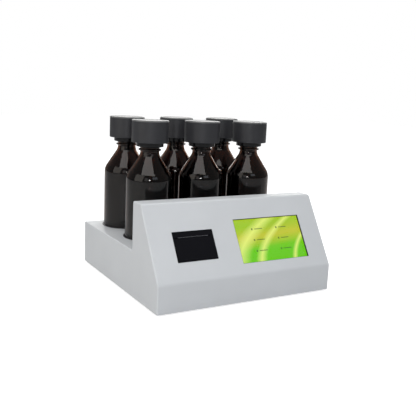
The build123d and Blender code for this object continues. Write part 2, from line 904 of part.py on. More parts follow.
# Main board with its processor, capacitors, motor drivers and sockets
with BuildPart() as main_board:
    with BuildSketch(Plane.XY.offset(main_board_z)):
        with Locations(main_board_centre):
            Rectangle(*main_board_size)
        with Locations(*board_holes):
            Circle(board_screw_radius + through_gap, mode=Mode.SUBTRACT)
    extrude(amount=board_thickness)
    with BuildSketch(Plane(origin=(*main_board_centre, main_board_top))):
        with Locations(processor_place):
            Rectangle(processor_size, processor_size)
        with Locations((0, driver_row)), GridLocations(driver_pitch, driver_pitch, driver_count, 1):
            Rectangle(*driver_chip)
    extrude(amount=chip_height)
    with BuildSketch(Plane(origin=(*main_board_centre, main_board_top))):
        with Locations((0, socket_row)), GridLocations(driver_pitch, driver_pitch, driver_count, 1):
            Rectangle(*socket_size)
    extrude(amount=socket_height)
    with BuildSketch(Plane(origin=(*main_board_centre, main_board_top))):
        with Locations(*capacitor_places):
            Circle(capacitor_radius)
    extrude(amount=capacitor_height)
    with BuildSketch(Plane.XY.offset(main_board_top)):
        with Locations((ribbon_across, main_board_centre[1] + ribbon_landing)):
            Rectangle(*ribbon_socket)
    extrude(amount=ribbon_socket_height)
save(main_board, "main_board")

# Flat cable from the display board down to the main board
ribbon_depth = display_board_depth + board_thickness + ribbon_socket_height
ribbon_start = panel_plane(ribbon_across, panel_centre_drop + ribbon_drop, ribbon_depth).origin
ribbon_end = Vector(
    ribbon_across,
    main_board_centre[1] + ribbon_landing,
    main_board_top + ribbon_socket_height,
)
ribbon_turn = ribbon_start + panel_out * ((ribbon_end.Y - ribbon_start.Y) / panel_out.Y)

with BuildPart() as ribbon_cable:
    with BuildSketch(Plane.YZ.offset(ribbon_across)):
        with BuildLine():
            FilletPolyline(
                (ribbon_start.Y, ribbon_start.Z),
                (ribbon_turn.Y, ribbon_turn.Z),
                (ribbon_end.Y, ribbon_end.Z),
                radius=ribbon_bend,
            )
        trace(line_width=ribbon_thickness)
    extrude(amount=ribbon_width / 2, both=True)
save(ribbon_cable, "ribbon_cable")

# Power supply: a vented box with its transformer and capacitors
with BuildPart() as power_supply:
    with BuildSketch(Plane(origin=(*supply_centre, plate_top))):
        Rectangle(*supply_size)
    extrude(amount=supply_height)
    with BuildSketch(Plane(origin=(*supply_centre, plate_top + supply_wall))):
        Rectangle(supply_size[0] - 2 * supply_wall, supply_size[1] - 2 * supply_wall)
    extrude(amount=supply_height - 2 * supply_wall, mode=Mode.SUBTRACT)
    with BuildSketch(Plane(origin=(*supply_centre, plate_top + supply_height))):
        with GridLocations(supply_vent_pitch, supply_vent_pitch, supply_vent_columns, supply_vent_rows):
            Circle(supply_vent_radius)
    extrude(amount=-supply_wall, mode=Mode.SUBTRACT)
    with BuildSketch(Plane(origin=(*supply_centre, plate_top + supply_wall))):
        with Locations(transformer_place):
            Rectangle(*transformer_size)
    extrude(amount=transformer_height)
    with BuildSketch(Plane(origin=(*supply_centre, plate_top + supply_wall))):
        with Locations((supply_capacitor_across, 0)), GridLocations(0, supply_capacitor_rows, 1, 2):
            Circle(supply_capacitor_radius)
    extrude(amount=supply_capacitor_height)
save(power_supply, "power_supply")

# Places inside the printer, as distances out of the panel's face and up from the printer's middle
bezel_width = printer_width - 2 * printer_fit
bezel_height = printer_height - 2 * printer_fit
strip_foot = bezel_height / 2 - printer_head_strip
tear_bar_foot = strip_foot - tear_bar_height
door_top = tear_bar_foot - door_gap
door_foot = -bezel_height / 2 + printer_bezel + door_gap
door_width = bezel_width - 2 * (printer_bezel + door_gap)
hinge_up = door_foot + door_thickness / 2
hinge_out = printer_proud - door_thickness / 2
recess_floor = printer_proud - door_thickness - door_gap
platen_up = door_top - platen_drop
platen_out = printer_proud - platen_setback
head_face = platen_out - platen_radius - thermal_head_gap
housing_width = bucket_width + 2 * printer_wall
housing_height = printer_height - 2 * printer_inset
bucket_height = housing_height - 2 * printer_wall
bucket_floor = printer_wall - printer_depth
paper_up = -bucket_height / 2 + paper_radius + paper_rise
paper_bore = paper_core_radius - paper_core_wall
arm_across = platen_length / 2 + arm_gap + arm_thickness / 2
printer_side = panel_side_plane(printer_x, panel_centre_drop)

# Printer housing: bezel through the panel, flange behind it and the paper bucket
with BuildPart() as printer_body:
    with BuildSketch(panel_plane(printer_x, panel_centre_drop, -printer_proud)):
        RectangleRounded(bezel_width, bezel_height, window_corner)
    extrude(amount=-(printer_proud + sheet))
    with BuildSketch(panel_plane(printer_x, panel_centre_drop, sheet)):
        Rectangle(printer_width + 2 * printer_flange_side, printer_height + 2 * printer_flange_rise)
        with GridLocations(*printer_ears, 2, 2):
            Circle(stud_radius + through_gap, mode=Mode.SUBTRACT)
    extrude(amount=-printer_flange)
    with BuildSketch(panel_plane(printer_x, panel_centre_drop, sheet)):
        Rectangle(housing_width, housing_height)
    extrude(amount=sheet - printer_depth)
    with BuildSketch(printer_side):
        with Locations(((printer_proud + recess_floor) / 2, (strip_foot + door_foot - door_gap) / 2)):
            Rectangle(printer_proud - recess_floor, strip_foot - door_foot + door_gap)
    extrude(amount=door_width / 2 + door_gap, both=True, mode=Mode.SUBTRACT)
    with BuildSketch(panel_plane(printer_x, panel_centre_drop, -recess_floor)):
        with Locations((0, (strip_foot - bucket_height / 2) / 2)):
            Rectangle(bucket_width, strip_foot + bucket_height / 2)
    extrude(amount=bucket_floor - recess_floor, mode=Mode.SUBTRACT)
    with BuildSketch(printer_side):
        with Locations((-paper_setback, paper_up)):
            Circle(paper_bore - printer_fit)
    extrude(amount=housing_width / 2, both=True)
    with BuildSketch(printer_side):
        with Locations((-paper_setback, paper_up)):
            Circle(paper_bore)
    extrude(amount=bucket_width / 2 - paper_hub_length, both=True, mode=Mode.SUBTRACT)
    with BuildSketch(printer_side):
        with Locations((hinge_out, hinge_up)):
            Circle(hinge_pin_radius + shaft_gap)
    extrude(amount=door_width / 2 + hinge_pin_length + door_gap, both=True, mode=Mode.SUBTRACT)
save(printer_body, "printer_body")

# Printer door with its hinge pins and the two arms that carry the platen roller
with BuildPart() as printer_door:
    with BuildSketch(printer_side):
        with Locations((hinge_out, (door_top + hinge_up) / 2)):
            Rectangle(door_thickness, door_top - hinge_up)
        with Locations((hinge_out, hinge_up)):
            Circle(door_thickness / 2)
    extrude(amount=door_width / 2, both=True)
    for side in (-1, 1):
        with BuildSketch(printer_side.offset(side * arm_across)):
            with Locations(((hinge_out + platen_out) / 2, platen_up)):
                Rectangle(hinge_out - platen_out, 2 * arm_radius)
            with Locations((platen_out, platen_up)):
                Circle(arm_radius)
                Circle(platen_shaft_radius + shaft_gap, mode=Mode.SUBTRACT)
        extrude(amount=arm_thickness / 2, both=True)
    with BuildSketch(printer_side):
        with Locations((hinge_out, hinge_up)):
            Circle(hinge_pin_radius)
    extrude(amount=door_width / 2 + hinge_pin_length, both=True)
save(printer_door, "printer_door")

# Platen roller on its shaft, with a small gear outside one arm
gear_across = arm_across + arm_thickness / 2 + arm_gap
with BuildPart() as platen_roller:
    with BuildSketch(printer_side):
        with Locations((platen_out, platen_up)):
            Circle(platen_radius)
    extrude(amount=platen_length / 2, both=True)
    with BuildSketch(printer_side):
        with Locations((platen_out, platen_up)):
            Circle(platen_shaft_radius)
    extrude(amount=gear_across, both=True)
    with BuildSketch(printer_side.offset(gear_across)):
        with Locations((platen_out, platen_up)):
            Circle(platen_gear_radius)
            with PolarLocations(platen_gear_radius, platen_gear_teeth):
                Rectangle(2 * platen_tooth[1], platen_tooth[0])
    extrude(amount=platen_gear_width)
save(platen_roller, "platen_roller")

# Paper roll on its core, dropped over the hubs of the bucket
with BuildPart() as paper_roll:
    with BuildSketch(printer_side):
        with Locations((-paper_setback, paper_up)):
            Circle(paper_radius)
            Circle(paper_bore, mode=Mode.SUBTRACT)
    extrude(amount=paper_width / 2, both=True)
    with BuildSketch(printer_side):
        with Locations((-paper_setback, paper_up)):
            Circle(paper_core_radius)
            Circle(paper_bore, mode=Mode.SUBTRACT)
    extrude(amount=paper_width / 2 + paper_core_spare, both=True)
save(paper_roll, "paper_roll")

# Thermal head behind the platen and the tear bar under the head strip
with BuildPart() as print_head:
    with BuildSketch(printer_side):
        with Locations((head_face - thermal_head_depth / 2, platen_up)):
            Rectangle(thermal_head_depth, thermal_head_height)
    extrude(amount=bucket_width / 2 - slide_gap, both=True)
    with BuildSketch(printer_side):
        with Locations(
            (printer_proud + tear_bar_proud - tear_bar_depth / 2, strip_foot - tear_bar_height / 2)
        ):
            Rectangle(tear_bar_depth, tear_bar_height)
    extrude(amount=tear_bar_width / 2, both=True)
save(print_head, "print_head")

# Mains inlet: a moulded socket with three blades
inlet_face = plate_rear + connector_flange
inlet_outline = [
    (-inlet_cavity[0] / 2, -inlet_cavity[1] / 2),
    (inlet_cavity[0] / 2, -inlet_cavity[1] / 2),
    (inlet_cavity[0] / 2, inlet_cavity[1] / 2 - inlet_corner),
    (inlet_cavity[0] / 2 - inlet_corner, inlet_cavity[1] / 2),
    (-inlet_cavity[0] / 2 + inlet_corner, inlet_cavity[1] / 2),
    (-inlet_cavity[0] / 2, inlet_cavity[1] / 2 - inlet_corner),
]


def rear_plane(x, y):
    """A plane square to Y at a connector, seen with its x axis to the right and its y axis up."""
    return Plane(origin=(x, y, connector_z), x_dir=(1, 0, 0), z_dir=(0, -1, 0))


with BuildPart() as power_inlet:
    with BuildSketch(rear_plane(inlet_x, plate_rear)):
        Rectangle(*inlet_flange)
    extrude(amount=-connector_flange)
    with BuildSketch(rear_plane(inlet_x, plate_rear)):
        Rectangle(*inlet_body)
    extrude(amount=inlet_depth)
    with BuildSketch(rear_plane(inlet_x, inlet_face)):
        with BuildLine():
            Polyline(*inlet_outline, close=True)
        make_face()
    extrude(amount=inlet_cavity_depth, mode=Mode.SUBTRACT)
    with BuildSketch(rear_plane(inlet_x, inlet_face - inlet_cavity_depth)):
        with Locations((-inlet_pin_spacing, 0), (inlet_pin_spacing, 0), (0, inlet_earth_rise)):
            Rectangle(*inlet_pin)
    extrude(amount=-inlet_pin_length)
save(power_inlet, "power_inlet")

# Power switch body with its pocket
rocker_y = plate_rear + connector_flange - rocker_setback

with BuildPart() as power_switch:
    with BuildSketch(rear_plane(switch_x, plate_rear)):
        Rectangle(*switch_bezel)
    extrude(amount=-connector_flange)
    with BuildSketch(rear_plane(switch_x, plate_rear)):
        Rectangle(*switch_body_size)
    extrude(amount=switch_depth)
    with BuildSketch(rear_plane(switch_x, plate_rear + connector_flange)):
        Rectangle(*switch_pocket)
    extrude(amount=switch_pocket_depth, mode=Mode.SUBTRACT)
    with BuildSketch(Plane(origin=(switch_x, rocker_y, connector_z), x_dir=(0, 1, 0), z_dir=(1, 0, 0))):
        Circle(rocker_pin_radius + shaft_gap)
    extrude(amount=rocker_width / 2 + rocker_pin_length + slide_gap, both=True, mode=Mode.SUBTRACT)
save(power_switch, "power_switch")

# Rocker, resting in its off position with its upper half pressed in
rocker_outline = [
    (rocker_wing, -rocker_half),
    (rocker_waist, 0),
    (rocker_wing, rocker_half),
    (0, rocker_half),
    (-rocker_root[1], rocker_root[0]),
    (-rocker_root[1], -rocker_root[0]),
    (0, -rocker_half),
]
rocker_plane = Plane(
    origin=(switch_x, rocker_y, connector_z),
    x_dir=(0, math.cos(math.radians(rocker_tilt)), math.sin(math.radians(rocker_tilt))),
    z_dir=(1, 0, 0),
)

with BuildPart() as switch_rocker:
    with BuildSketch(rocker_plane):
        with BuildLine():
            Polyline(*rocker_outline, close=True)
        make_face()
    extrude(amount=rocker_width / 2, both=True)
    with BuildSketch(rocker_plane):
        Circle(rocker_pin_radius)
    extrude(amount=rocker_width / 2 + rocker_pin_length, both=True)
save(switch_rocker, "switch_rocker")

# Data port with its tongue
with BuildPart() as data_port:
    with BuildSketch(rear_plane(port_x, plate_rear)):
        Rectangle(*port_flange)
    extrude(amount=-connector_flange)
    with BuildSketch(rear_plane(port_x, plate_rear)):
        Rectangle(*port_body)
    extrude(amount=port_depth)
    with BuildSketch(rear_plane(port_x, plate_rear + connector_flange)):
        Rectangle(*port_cavity)
        Rectangle(*port_tongue, mode=Mode.SUBTRACT)
    extrude(amount=port_cavity_depth, mode=Mode.SUBTRACT)
save(data_port, "data_port")
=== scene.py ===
import json
import math

import bmesh
import bpy
from bpy.props import FloatProperty, FloatVectorProperty, IntProperty, PointerProperty
from mathutils import Matrix, Vector

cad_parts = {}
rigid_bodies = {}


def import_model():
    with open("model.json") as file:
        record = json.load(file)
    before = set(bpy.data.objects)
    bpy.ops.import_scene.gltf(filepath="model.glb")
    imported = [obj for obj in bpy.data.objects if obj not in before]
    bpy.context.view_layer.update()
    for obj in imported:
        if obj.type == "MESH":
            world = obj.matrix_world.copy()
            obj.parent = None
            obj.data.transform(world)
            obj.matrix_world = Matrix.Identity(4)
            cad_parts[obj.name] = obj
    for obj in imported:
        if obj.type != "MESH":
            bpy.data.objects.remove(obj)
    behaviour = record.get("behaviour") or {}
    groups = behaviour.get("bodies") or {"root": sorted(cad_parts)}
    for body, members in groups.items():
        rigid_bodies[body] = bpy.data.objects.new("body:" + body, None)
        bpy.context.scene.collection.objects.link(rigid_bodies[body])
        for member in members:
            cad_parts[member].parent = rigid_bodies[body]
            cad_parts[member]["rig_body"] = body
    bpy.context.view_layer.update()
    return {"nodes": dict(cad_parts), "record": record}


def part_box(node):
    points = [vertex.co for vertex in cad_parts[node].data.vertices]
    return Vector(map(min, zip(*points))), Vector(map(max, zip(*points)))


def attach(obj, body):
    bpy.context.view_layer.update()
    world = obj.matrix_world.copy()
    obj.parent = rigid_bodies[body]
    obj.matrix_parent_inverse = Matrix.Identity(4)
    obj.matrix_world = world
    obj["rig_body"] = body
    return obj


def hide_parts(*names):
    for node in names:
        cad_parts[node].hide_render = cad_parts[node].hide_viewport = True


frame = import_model()

bl_info = {
    "name": "Sample bottle analyzer",
    "version": (1, 0, 0),
    "blender": (4, 5, 0),
    "location": "3D View > Sidebar > Analyzer",
    "description": "Dresses a bench analyzer with six amber bottles, a touch screen and a panel printer",
    "category": "Object",
}

STATIONS = range(1, 7)
SLOTS = {part["node"]: part["material_slot"] for part in frame["record"]["subparts"]}
MERGE_DISTANCE = 1e-6
FLAT_ANGLE = math.radians(0.5)
EDGE_ANGLE = math.radians(32)
SMOOTH_ANGLE = math.radians(38)
BEND_STEPS = 10
FULL_TURN = 2 * math.pi

# The bottle's foot, bends, bead and thread
FOOT_HOLLOW = 0.0015
FOOT_HOLLOW_RADIUS = 0.031
FOOT_RING_RADIUS = 0.036
SHOULDER_BEND = 0.030
SHOULDER_BEND_INSIDE = 0.0268
NECK_BEND = 0.018
BEAD_DROP = 0.031
BEAD_HALF = 0.0014
BEAD_FOOT = 0.0022
FINISH_DROP = 0.027
FINISH_SLOPE = 0.0008
THREAD_TURNS = 3
THREAD_DROP = 0.006
THREAD_PITCH = 0.005
THREAD_DEPTH = 0.0014
THREAD_CREST = 0.0008
THREAD_FOOT = 0.0021

# The head's web, seam and spigot
WEB_HEIGHT = 0.0274
WEB_THICKNESS = 0.003
PORT_RADIUS = 0.003
SEAM_CHAMFER = 0.00035
SPIGOT_GAP = 0.0003
SPIGOT_DEPTH = 0.004
SPIGOT_WALL = 0.0022

# The sensor's board, cell and can
BOARD_RADIUS = 0.028
BOARD_THICKNESS = 0.0016
CELL_RADIUS = 0.012
CELL_HEIGHT = 0.005
CAN_RADIUS = 0.006
CAN_HEIGHT = 0.0044
NOZZLE_RADIUS = 0.0026
NOZZLE_LENGTH = 0.0026

# The screen's glass, its dark lip painted as the shade of the window's recess, and picture
GLASS_MARGIN = 0.0055
GLASS_GAP = 0.0003
GLASS_EDGE = 0.0003
SHADE_LIP_THICKNESS = 0.0006
SHADE_LIP_DEPTHS = (0.0004, 0.0034)
PICTURE_THICKNESS = 0.0001
PICTURE_OVERLAP = 0.002

# The picture's light sweeps as (slope, offset, width) and its marks as (shift, half width, half height)
SWEEPS = ((0.55, -0.72, 0.34), (0.55, -0.08, 0.18), (0.55, 0.95, 0.10))
SWEEP_CURVE = 0.22
MARK_ROWS = (0.52, 0.02, -0.48)
MARK_COLUMNS = (-0.28, 0.46)
MARKS = ((0.0, 0.12, 0.02), (-0.19, 0.022, 0.045))

# The inlet's blades: half width and half height of their field, and its depth from the outer face
BLADE_HALF_WIDTH = 0.0086
BLADE_HALF_HEIGHT = 0.0056
BLADE_DEPTH = 0.0166

# The studio: how bright the floor and the world are, and how much of that shows in gloss
FLOOR_GREY = (0.56, 0.56, 0.56)
FLOOR_GLOW = 0.74
FLOOR_GLOSS_SHARE = 0.12
SOFT_LIGHT = 0.58
GLOSS_LIGHT = 0.17
BACKGROUND_LIGHT = 1.0

# Lamps as (name, place, target, width, height, watts, colour)
LAMPS = (
    ("left_box", (-1.6, -0.3, 0.8), (0.0, 0.0, 0.15), 1.3, 1.3, 6.2, (1.0, 0.96, 0.88)),
    ("near_box", (-0.75, -0.8, 0.5), (0.0, 0.0, 0.22), 0.3, 0.4, 0.3, (1.0, 1.0, 1.0)),
    ("front_box", (0.1, -1.9, 1.1), (0.0, -0.05, 0.1), 0.9, 0.6, 2.2, (0.82, 0.90, 1.0)),
    ("cone_box", (-0.66, -0.90, 1.78), (0.0, 0.0, 0.22), 2.1, 0.6, 8.8, (1.0, 0.99, 0.97)),
    ("top_box", (0.1, 0.5, 1.9), (0.0, 0.0, 0.1), 1.4, 1.2, 10.0, (1.0, 1.0, 0.98)),
    ("back_box", (1.3, 2.3, 1.0), (0.0, 0.0, 0.25), 3.0, 0.7, 20.0, (1.0, 1.0, 0.98)),
    ("flash_box", (-0.56, -1.12, 0.46), (0.0, 0.0, 0.2), 0.12, 0.12, 1.5, (0.97, 0.98, 1.0)),
)


def station_centre(number):
    """The middle of a bottle station on the deck plane, from the bottle's box."""
    low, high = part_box(f"bottle_{number}")
    return Vector(((low.x + high.x) / 2, (low.y + high.y) / 2, 0.0))


def panel_axes(sizes):
    """The directions up the sloping panel and out of it."""
    low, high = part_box("top_cover")
    rise = Vector((0.0, sizes.ridge_front - low.y, high.z - sizes.band_height)).normalized()
    return rise, Vector((0.0, -rise.z, rise.y))


def panel_matrix(sizes, across, depth=0.0):
    """Places panel coordinates (right, up, out) at the middle line of the panel's two windows."""
    rise, out = panel_axes(sizes)
    top = Vector((0.0, sizes.ridge_front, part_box("top_cover")[1].z))
    origin = top - rise * sizes.window_drop - out * depth
    origin.x = across
    columns = Matrix((Vector((1.0, 0.0, 0.0)), rise, out)).transposed()
    return Matrix.Translation(origin) @ columns.to_4x4()


class CasingSizes(bpy.types.PropertyGroup):
    ridge_front: FloatProperty(
        name="Ridge front", description="Where the ridge meets the sloping panel", default=-0.106,
        subtype="DISTANCE", unit="LENGTH",
    )
    band_height: FloatProperty(
        name="Band height", description="Height of the bend over the front band", default=0.054,
        subtype="DISTANCE", unit="LENGTH",
    )
    window_drop: FloatProperty(
        name="Window drop", description="Distance down the panel to the middle of its windows",
        default=0.0845, subtype="DISTANCE", unit="LENGTH",
    )
    edge: FloatProperty(
        name="Edge", description="Width of the soft edge on cut sheet and mouldings", default=0.00035,
        subtype="DISTANCE", unit="LENGTH",
    )
    paint: FloatVectorProperty(
        name="Paint", description="Colour of the powder coat", default=(0.585, 0.60, 0.62),
        subtype="COLOR", min=0.0, max=1.0,
    )


class BottleSizes(bpy.types.PropertyGroup):
    wall: FloatProperty(
        name="Wall", description="Thickness of the glass", default=0.0032, subtype="DISTANCE", unit="LENGTH",
    )
    floor: FloatProperty(
        name="Floor", description="Thickness of the bottle's floor", default=0.0045, subtype="DISTANCE",
        unit="LENGTH",
    )
    body_height: FloatProperty(
        name="Body height", description="Height of the straight body", default=0.132, subtype="DISTANCE",
        unit="LENGTH",
    )
    cone_height: FloatProperty(
        name="Cone height", description="Height of the shoulder cone", default=0.0415, subtype="DISTANCE",
        unit="LENGTH",
    )
    neck_radius: FloatProperty(
        name="Neck radius", description="Outer radius of the neck", default=0.0185, subtype="DISTANCE",
        unit="LENGTH",
    )
    mouth_radius: FloatProperty(
        name="Mouth radius", description="Inner radius of the neck", default=0.015, subtype="DISTANCE",
        unit="LENGTH",
    )
    finish_radius: FloatProperty(
        name="Finish radius", description="Outer radius of the threaded mouth", default=0.0208,
        subtype="DISTANCE", unit="LENGTH",
    )
    bead_radius: FloatProperty(
        name="Bead radius", description="Outer radius of the bead under the mouth", default=0.022,
        subtype="DISTANCE", unit="LENGTH",
    )
    steps: IntProperty(name="Steps", description="Faces round a turned piece", default=112, min=24)
    tint: FloatVectorProperty(
        name="Tint", description="Colour of the amber glass", default=(0.030, 0.012, 0.006),
        subtype="COLOR", min=0.0, max=1.0,
    )


class HeadSizes(bpy.types.PropertyGroup):
    collar_radius: FloatProperty(
        name="Collar radius", description="Outer radius of the collar under the head", default=0.0265,
        subtype="DISTANCE", unit="LENGTH",
    )
    collar_height: FloatProperty(
        name="Collar height", description="Height of the collar", default=0.008, subtype="DISTANCE",
        unit="LENGTH",
    )
    wall: FloatProperty(
        name="Wall", description="Thickness of the head's wall", default=0.0026, subtype="DISTANCE",
        unit="LENGTH",
    )
    socket_radius: FloatProperty(
        name="Socket radius", description="Inner radius of the collar", default=0.0228,
        subtype="DISTANCE", unit="LENGTH",
    )
    edge: FloatProperty(
        name="Edge", description="Radius of the head's rounded edges", default=0.0012, subtype="DISTANCE",
        unit="LENGTH",
    )
    disc_radius: FloatProperty(
        name="Disc radius", description="Radius of the sunk disc in the cover", default=0.0315,
        subtype="DISTANCE", unit="LENGTH",
    )
    disc_depth: FloatProperty(
        name="Disc depth", description="Depth of the sunk disc", default=0.0004, subtype="DISTANCE",
        unit="LENGTH",
    )
    colour: FloatVectorProperty(
        name="Colour", description="Colour of the moulded head", default=(0.030, 0.030, 0.034),
        subtype="COLOR", min=0.0, max=1.0,
    )


class ScreenSizes(bpy.types.PropertyGroup):
    across: FloatProperty(
        name="Across", description="Distance of the screen's middle from the middle of the casing",
        default=0.067, subtype="DISTANCE", unit="LENGTH",
    )
    width: FloatProperty(
        name="Width", description="Width of the picture", default=0.1524, subtype="DISTANCE", unit="LENGTH",
    )
    height: FloatProperty(
        name="Height", description="Height of the picture", default=0.0864, subtype="DISTANCE",
        unit="LENGTH",
    )
    face_depth: FloatProperty(
        name="Face depth", description="Depth of the display behind the panel's face", default=0.0053,
        subtype="DISTANCE", unit="LENGTH",
    )
    glass: FloatProperty(
        name="Glass", description="Thickness of the touch glass", default=0.0015, subtype="DISTANCE",
        unit="LENGTH",
    )
    glow: FloatProperty(name="Glow", description="Strength of the picture's light", default=0.95, min=0.0)
    green: FloatVectorProperty(
        name="Green", description="Main colour of the picture", default=(0.14, 0.62, 0.0),
        subtype="COLOR", min=0.0, max=1.0,
    )
    olive: FloatVectorProperty(
        name="Olive", description="Colour of the picture's middle band", default=(0.58, 0.60, 0.03),
        subtype="COLOR", min=0.0, max=1.0,
    )
    cream: FloatVectorProperty(
        name="Cream", description="Colour of the picture's light sweeps", default=(0.92, 1.0, 0.24),
        subtype="COLOR", min=0.0, max=1.0,
    )


class StageSizes(bpy.types.PropertyGroup):
    yaw: FloatProperty(
        name="Yaw", description="Turn of the camera to the right of straight on",
        default=math.radians(30.59), subtype="ANGLE", unit="ROTATION",
    )
    pitch: FloatProperty(
        name="Pitch", description="Tilt of the camera below level", default=math.radians(10.87),
        subtype="ANGLE", unit="ROTATION",
    )
    roll: FloatProperty(
        name="Roll", description="Roll of the camera", default=math.radians(2.65), subtype="ANGLE",
        unit="ROTATION",
    )
    eye: FloatVectorProperty(
        name="Eye", description="Place of the camera", default=(-0.6245, -1.0768, 0.3828),
        subtype="XYZ", unit="LENGTH",
    )
    lens: FloatProperty(name="Lens", description="Focal length in millimetres", default=53.39)
    floor_size: FloatProperty(
        name="Floor", description="Width of the floor", default=12.0, subtype="DISTANCE", unit="LENGTH",
    )


# Finishes

def shader_tree(name):
    """A new material with its nodes, links and main shader."""
    material = bpy.data.materials.new(name)
    material.use_nodes = True
    tree = material.node_tree
    return material, tree.nodes, tree.links, tree.nodes["Principled BSDF"]


def set_inputs(node, **values):
    """Sets sockets by name, with underscores for spaces."""
    for key, value in values.items():
        node.inputs[key.replace("_", " ")].default_value = value


def object_coordinates(nodes, links, scale=(1.0, 1.0, 1.0)):
    """Object coordinates through a mapping of the given scale."""
    place = nodes.new("ShaderNodeTexCoord")
    mapping = nodes.new("ShaderNodeMapping")
    mapping.inputs["Scale"].default_value = scale
    links.new(place.outputs["Object"], mapping.inputs["Vector"])
    return mapping.outputs["Vector"]


def place_sockets(nodes, links):
    """The X, Y and Z sockets of the object coordinates."""
    place = nodes.new("ShaderNodeTexCoord")
    parts = nodes.new("ShaderNodeSeparateXYZ")
    links.new(place.outputs["Object"], parts.inputs["Vector"])
    return parts.outputs


def noise_value(nodes, links, scale, detail=3.0, stretch=(1.0, 1.0, 1.0)):
    """Noise on object coordinates; scale counts its waves in a metre."""
    noise = nodes.new("ShaderNodeTexNoise")
    set_inputs(noise, Scale=scale, Detail=detail, Roughness=0.55)
    links.new(object_coordinates(nodes, links, stretch), noise.inputs["Vector"])
    return noise.outputs["Fac"]


def mapped(nodes, links, value, low, high, start=0.3, end=0.7):
    """A value spread from start and end to low and high."""
    ramp = nodes.new("ShaderNodeMapRange")
    ramp.inputs["From Min"].default_value = start
    ramp.inputs["From Max"].default_value = end
    ramp.inputs["To Min"].default_value = low
    ramp.inputs["To Max"].default_value = high
    links.new(value, ramp.inputs["Value"])
    return ramp.outputs["Result"]


def mixed(nodes, links, factor, first, second):
    """Two colours mixed by a factor; each may be a socket or a colour."""
    mix = nodes.new("ShaderNodeMix")
    mix.data_type = "RGBA"
    for socket, value in ((mix.inputs["A"], first), (mix.inputs["B"], second)):
        if isinstance(value, bpy.types.NodeSocket):
            links.new(value, socket)
        else:
            socket.default_value = (*value[:3], 1.0)
    if isinstance(factor, bpy.types.NodeSocket):
        links.new(factor, mix.inputs["Factor"])
    else:
        mix.inputs["Factor"].default_value = factor
    return mix.outputs["Result"]


def calculated(nodes, links, operation, first, second=0.0):
    """A math node on sockets or numbers."""
    node = nodes.new("ShaderNodeMath")
    node.operation = operation
    for socket, value in zip(node.inputs, (first, second)):
        if isinstance(value, bpy.types.NodeSocket):
            links.new(value, socket)
        else:
            socket.default_value = value
    return node.outputs["Value"]


def near(nodes, links, value, centre, reach):
    """One where a value is less than a reach from its centre, else nothing."""
    away = calculated(nodes, links, "ABSOLUTE", calculated(nodes, links, "SUBTRACT", value, centre))
    return calculated(nodes, links, "LESS_THAN", away, reach)


def background_share(nodes, links):
    """How much of the white background a ray shows: all to the camera and through glass, part in gloss."""
    rays = nodes.new("ShaderNodeLightPath")
    gloss = calculated(nodes, links, "MULTIPLY", rays.outputs["Is Glossy Ray"], FLOOR_GLOSS_SHARE)
    through = calculated(nodes, links, "MAXIMUM", rays.outputs["Is Transmission Ray"], gloss)
    return calculated(nodes, links, "MAXIMUM", rays.outputs["Is Camera Ray"], through)


def grained(nodes, links, shader, height, strength, distance):
    """Bump from a height value."""
    bump = nodes.new("ShaderNodeBump")
    set_inputs(bump, Strength=strength, Distance=distance)
    links.new(height, bump.inputs["Height"])
    links.new(bump.outputs["Normal"], shader.inputs["Normal"])


def varied_colour(nodes, links, shader, colour, amount, scale):
    """A base colour that drifts a little lighter and darker over the surface."""
    darker = [part * (1.0 - amount) for part in colour]
    lighter = [min(1.0, part * (1.0 + amount)) for part in colour]
    drift = mapped(nodes, links, noise_value(nodes, links, scale), 0.0, 1.0)
    links.new(mixed(nodes, links, drift, darker, lighter), shader.inputs["Base Color"])


def powder_coat(name):
    """Satin powder coat: a soft orange-peel surface, fine grain and faint handling marks."""
    material, nodes, links, shader = shader_tree(name)
    paint = bpy.context.scene.analyzer_casing.paint
    varied_colour(nodes, links, shader, paint, 0.018, 14.0)
    smudges = noise_value(nodes, links, 26.0, 5.0)
    links.new(mapped(nodes, links, smudges, 0.36, 0.47), shader.inputs["Roughness"])
    peel = noise_value(nodes, links, 620.0, 2.0)
    grained(nodes, links, shader, peel, 0.10, 0.0002)
    set_inputs(shader, IOR=1.5)
    return material


def moulded(name, colour, roughness, grain=900.0, depth=0.12, drift=0.08, shine=0.5):
    """Moulded plastic with a fine grain and slightly uneven gloss."""
    material, nodes, links, shader = shader_tree(name)
    shader.inputs["Specular IOR Level"].default_value = shine
    varied_colour(nodes, links, shader, colour, drift, 40.0)
    gloss = noise_value(nodes, links, 60.0, 4.0)
    links.new(mapped(nodes, links, gloss, roughness * 0.88, roughness * 1.14), shader.inputs["Roughness"])
    grained(nodes, links, shader, noise_value(nodes, links, grain, 2.0), depth, 0.00012)
    return material


def brushed(name, colour, roughness, stretch=(1.0, 18.0, 18.0), depth=0.08):
    """Metal with fine lines along one way and drifting gloss."""
    material, nodes, links, shader = shader_tree(name)
    set_inputs(shader, Metallic=1.0)
    varied_colour(nodes, links, shader, colour, 0.07, 30.0)
    lines = noise_value(nodes, links, 160.0, 6.0, stretch)
    links.new(mapped(nodes, links, lines, roughness * 0.75, roughness * 1.3), shader.inputs["Roughness"])
    grained(nodes, links, shader, lines, depth, 0.0001)
    return material


def zinc_sheet(name):
    """Zinc plated sheet with its faint crystal flowers."""
    material, nodes, links, shader = shader_tree(name)
    set_inputs(shader, Metallic=1.0)
    flowers = nodes.new("ShaderNodeTexVoronoi")
    set_inputs(flowers, Scale=150.0)
    links.new(object_coordinates(nodes, links), flowers.inputs["Vector"])
    distance = flowers.outputs["Distance"]
    shade = mapped(nodes, links, distance, 0.0, 1.0, 0.0, 0.9)
    links.new(mixed(nodes, links, shade, (0.52, 0.54, 0.57), (0.64, 0.65, 0.67)), shader.inputs["Base Color"])
    links.new(mapped(nodes, links, distance, 0.3, 0.48, 0.0, 0.9), shader.inputs["Roughness"])
    grained(nodes, links, shader, noise_value(nodes, links, 500.0), 0.06, 0.0001)
    return material


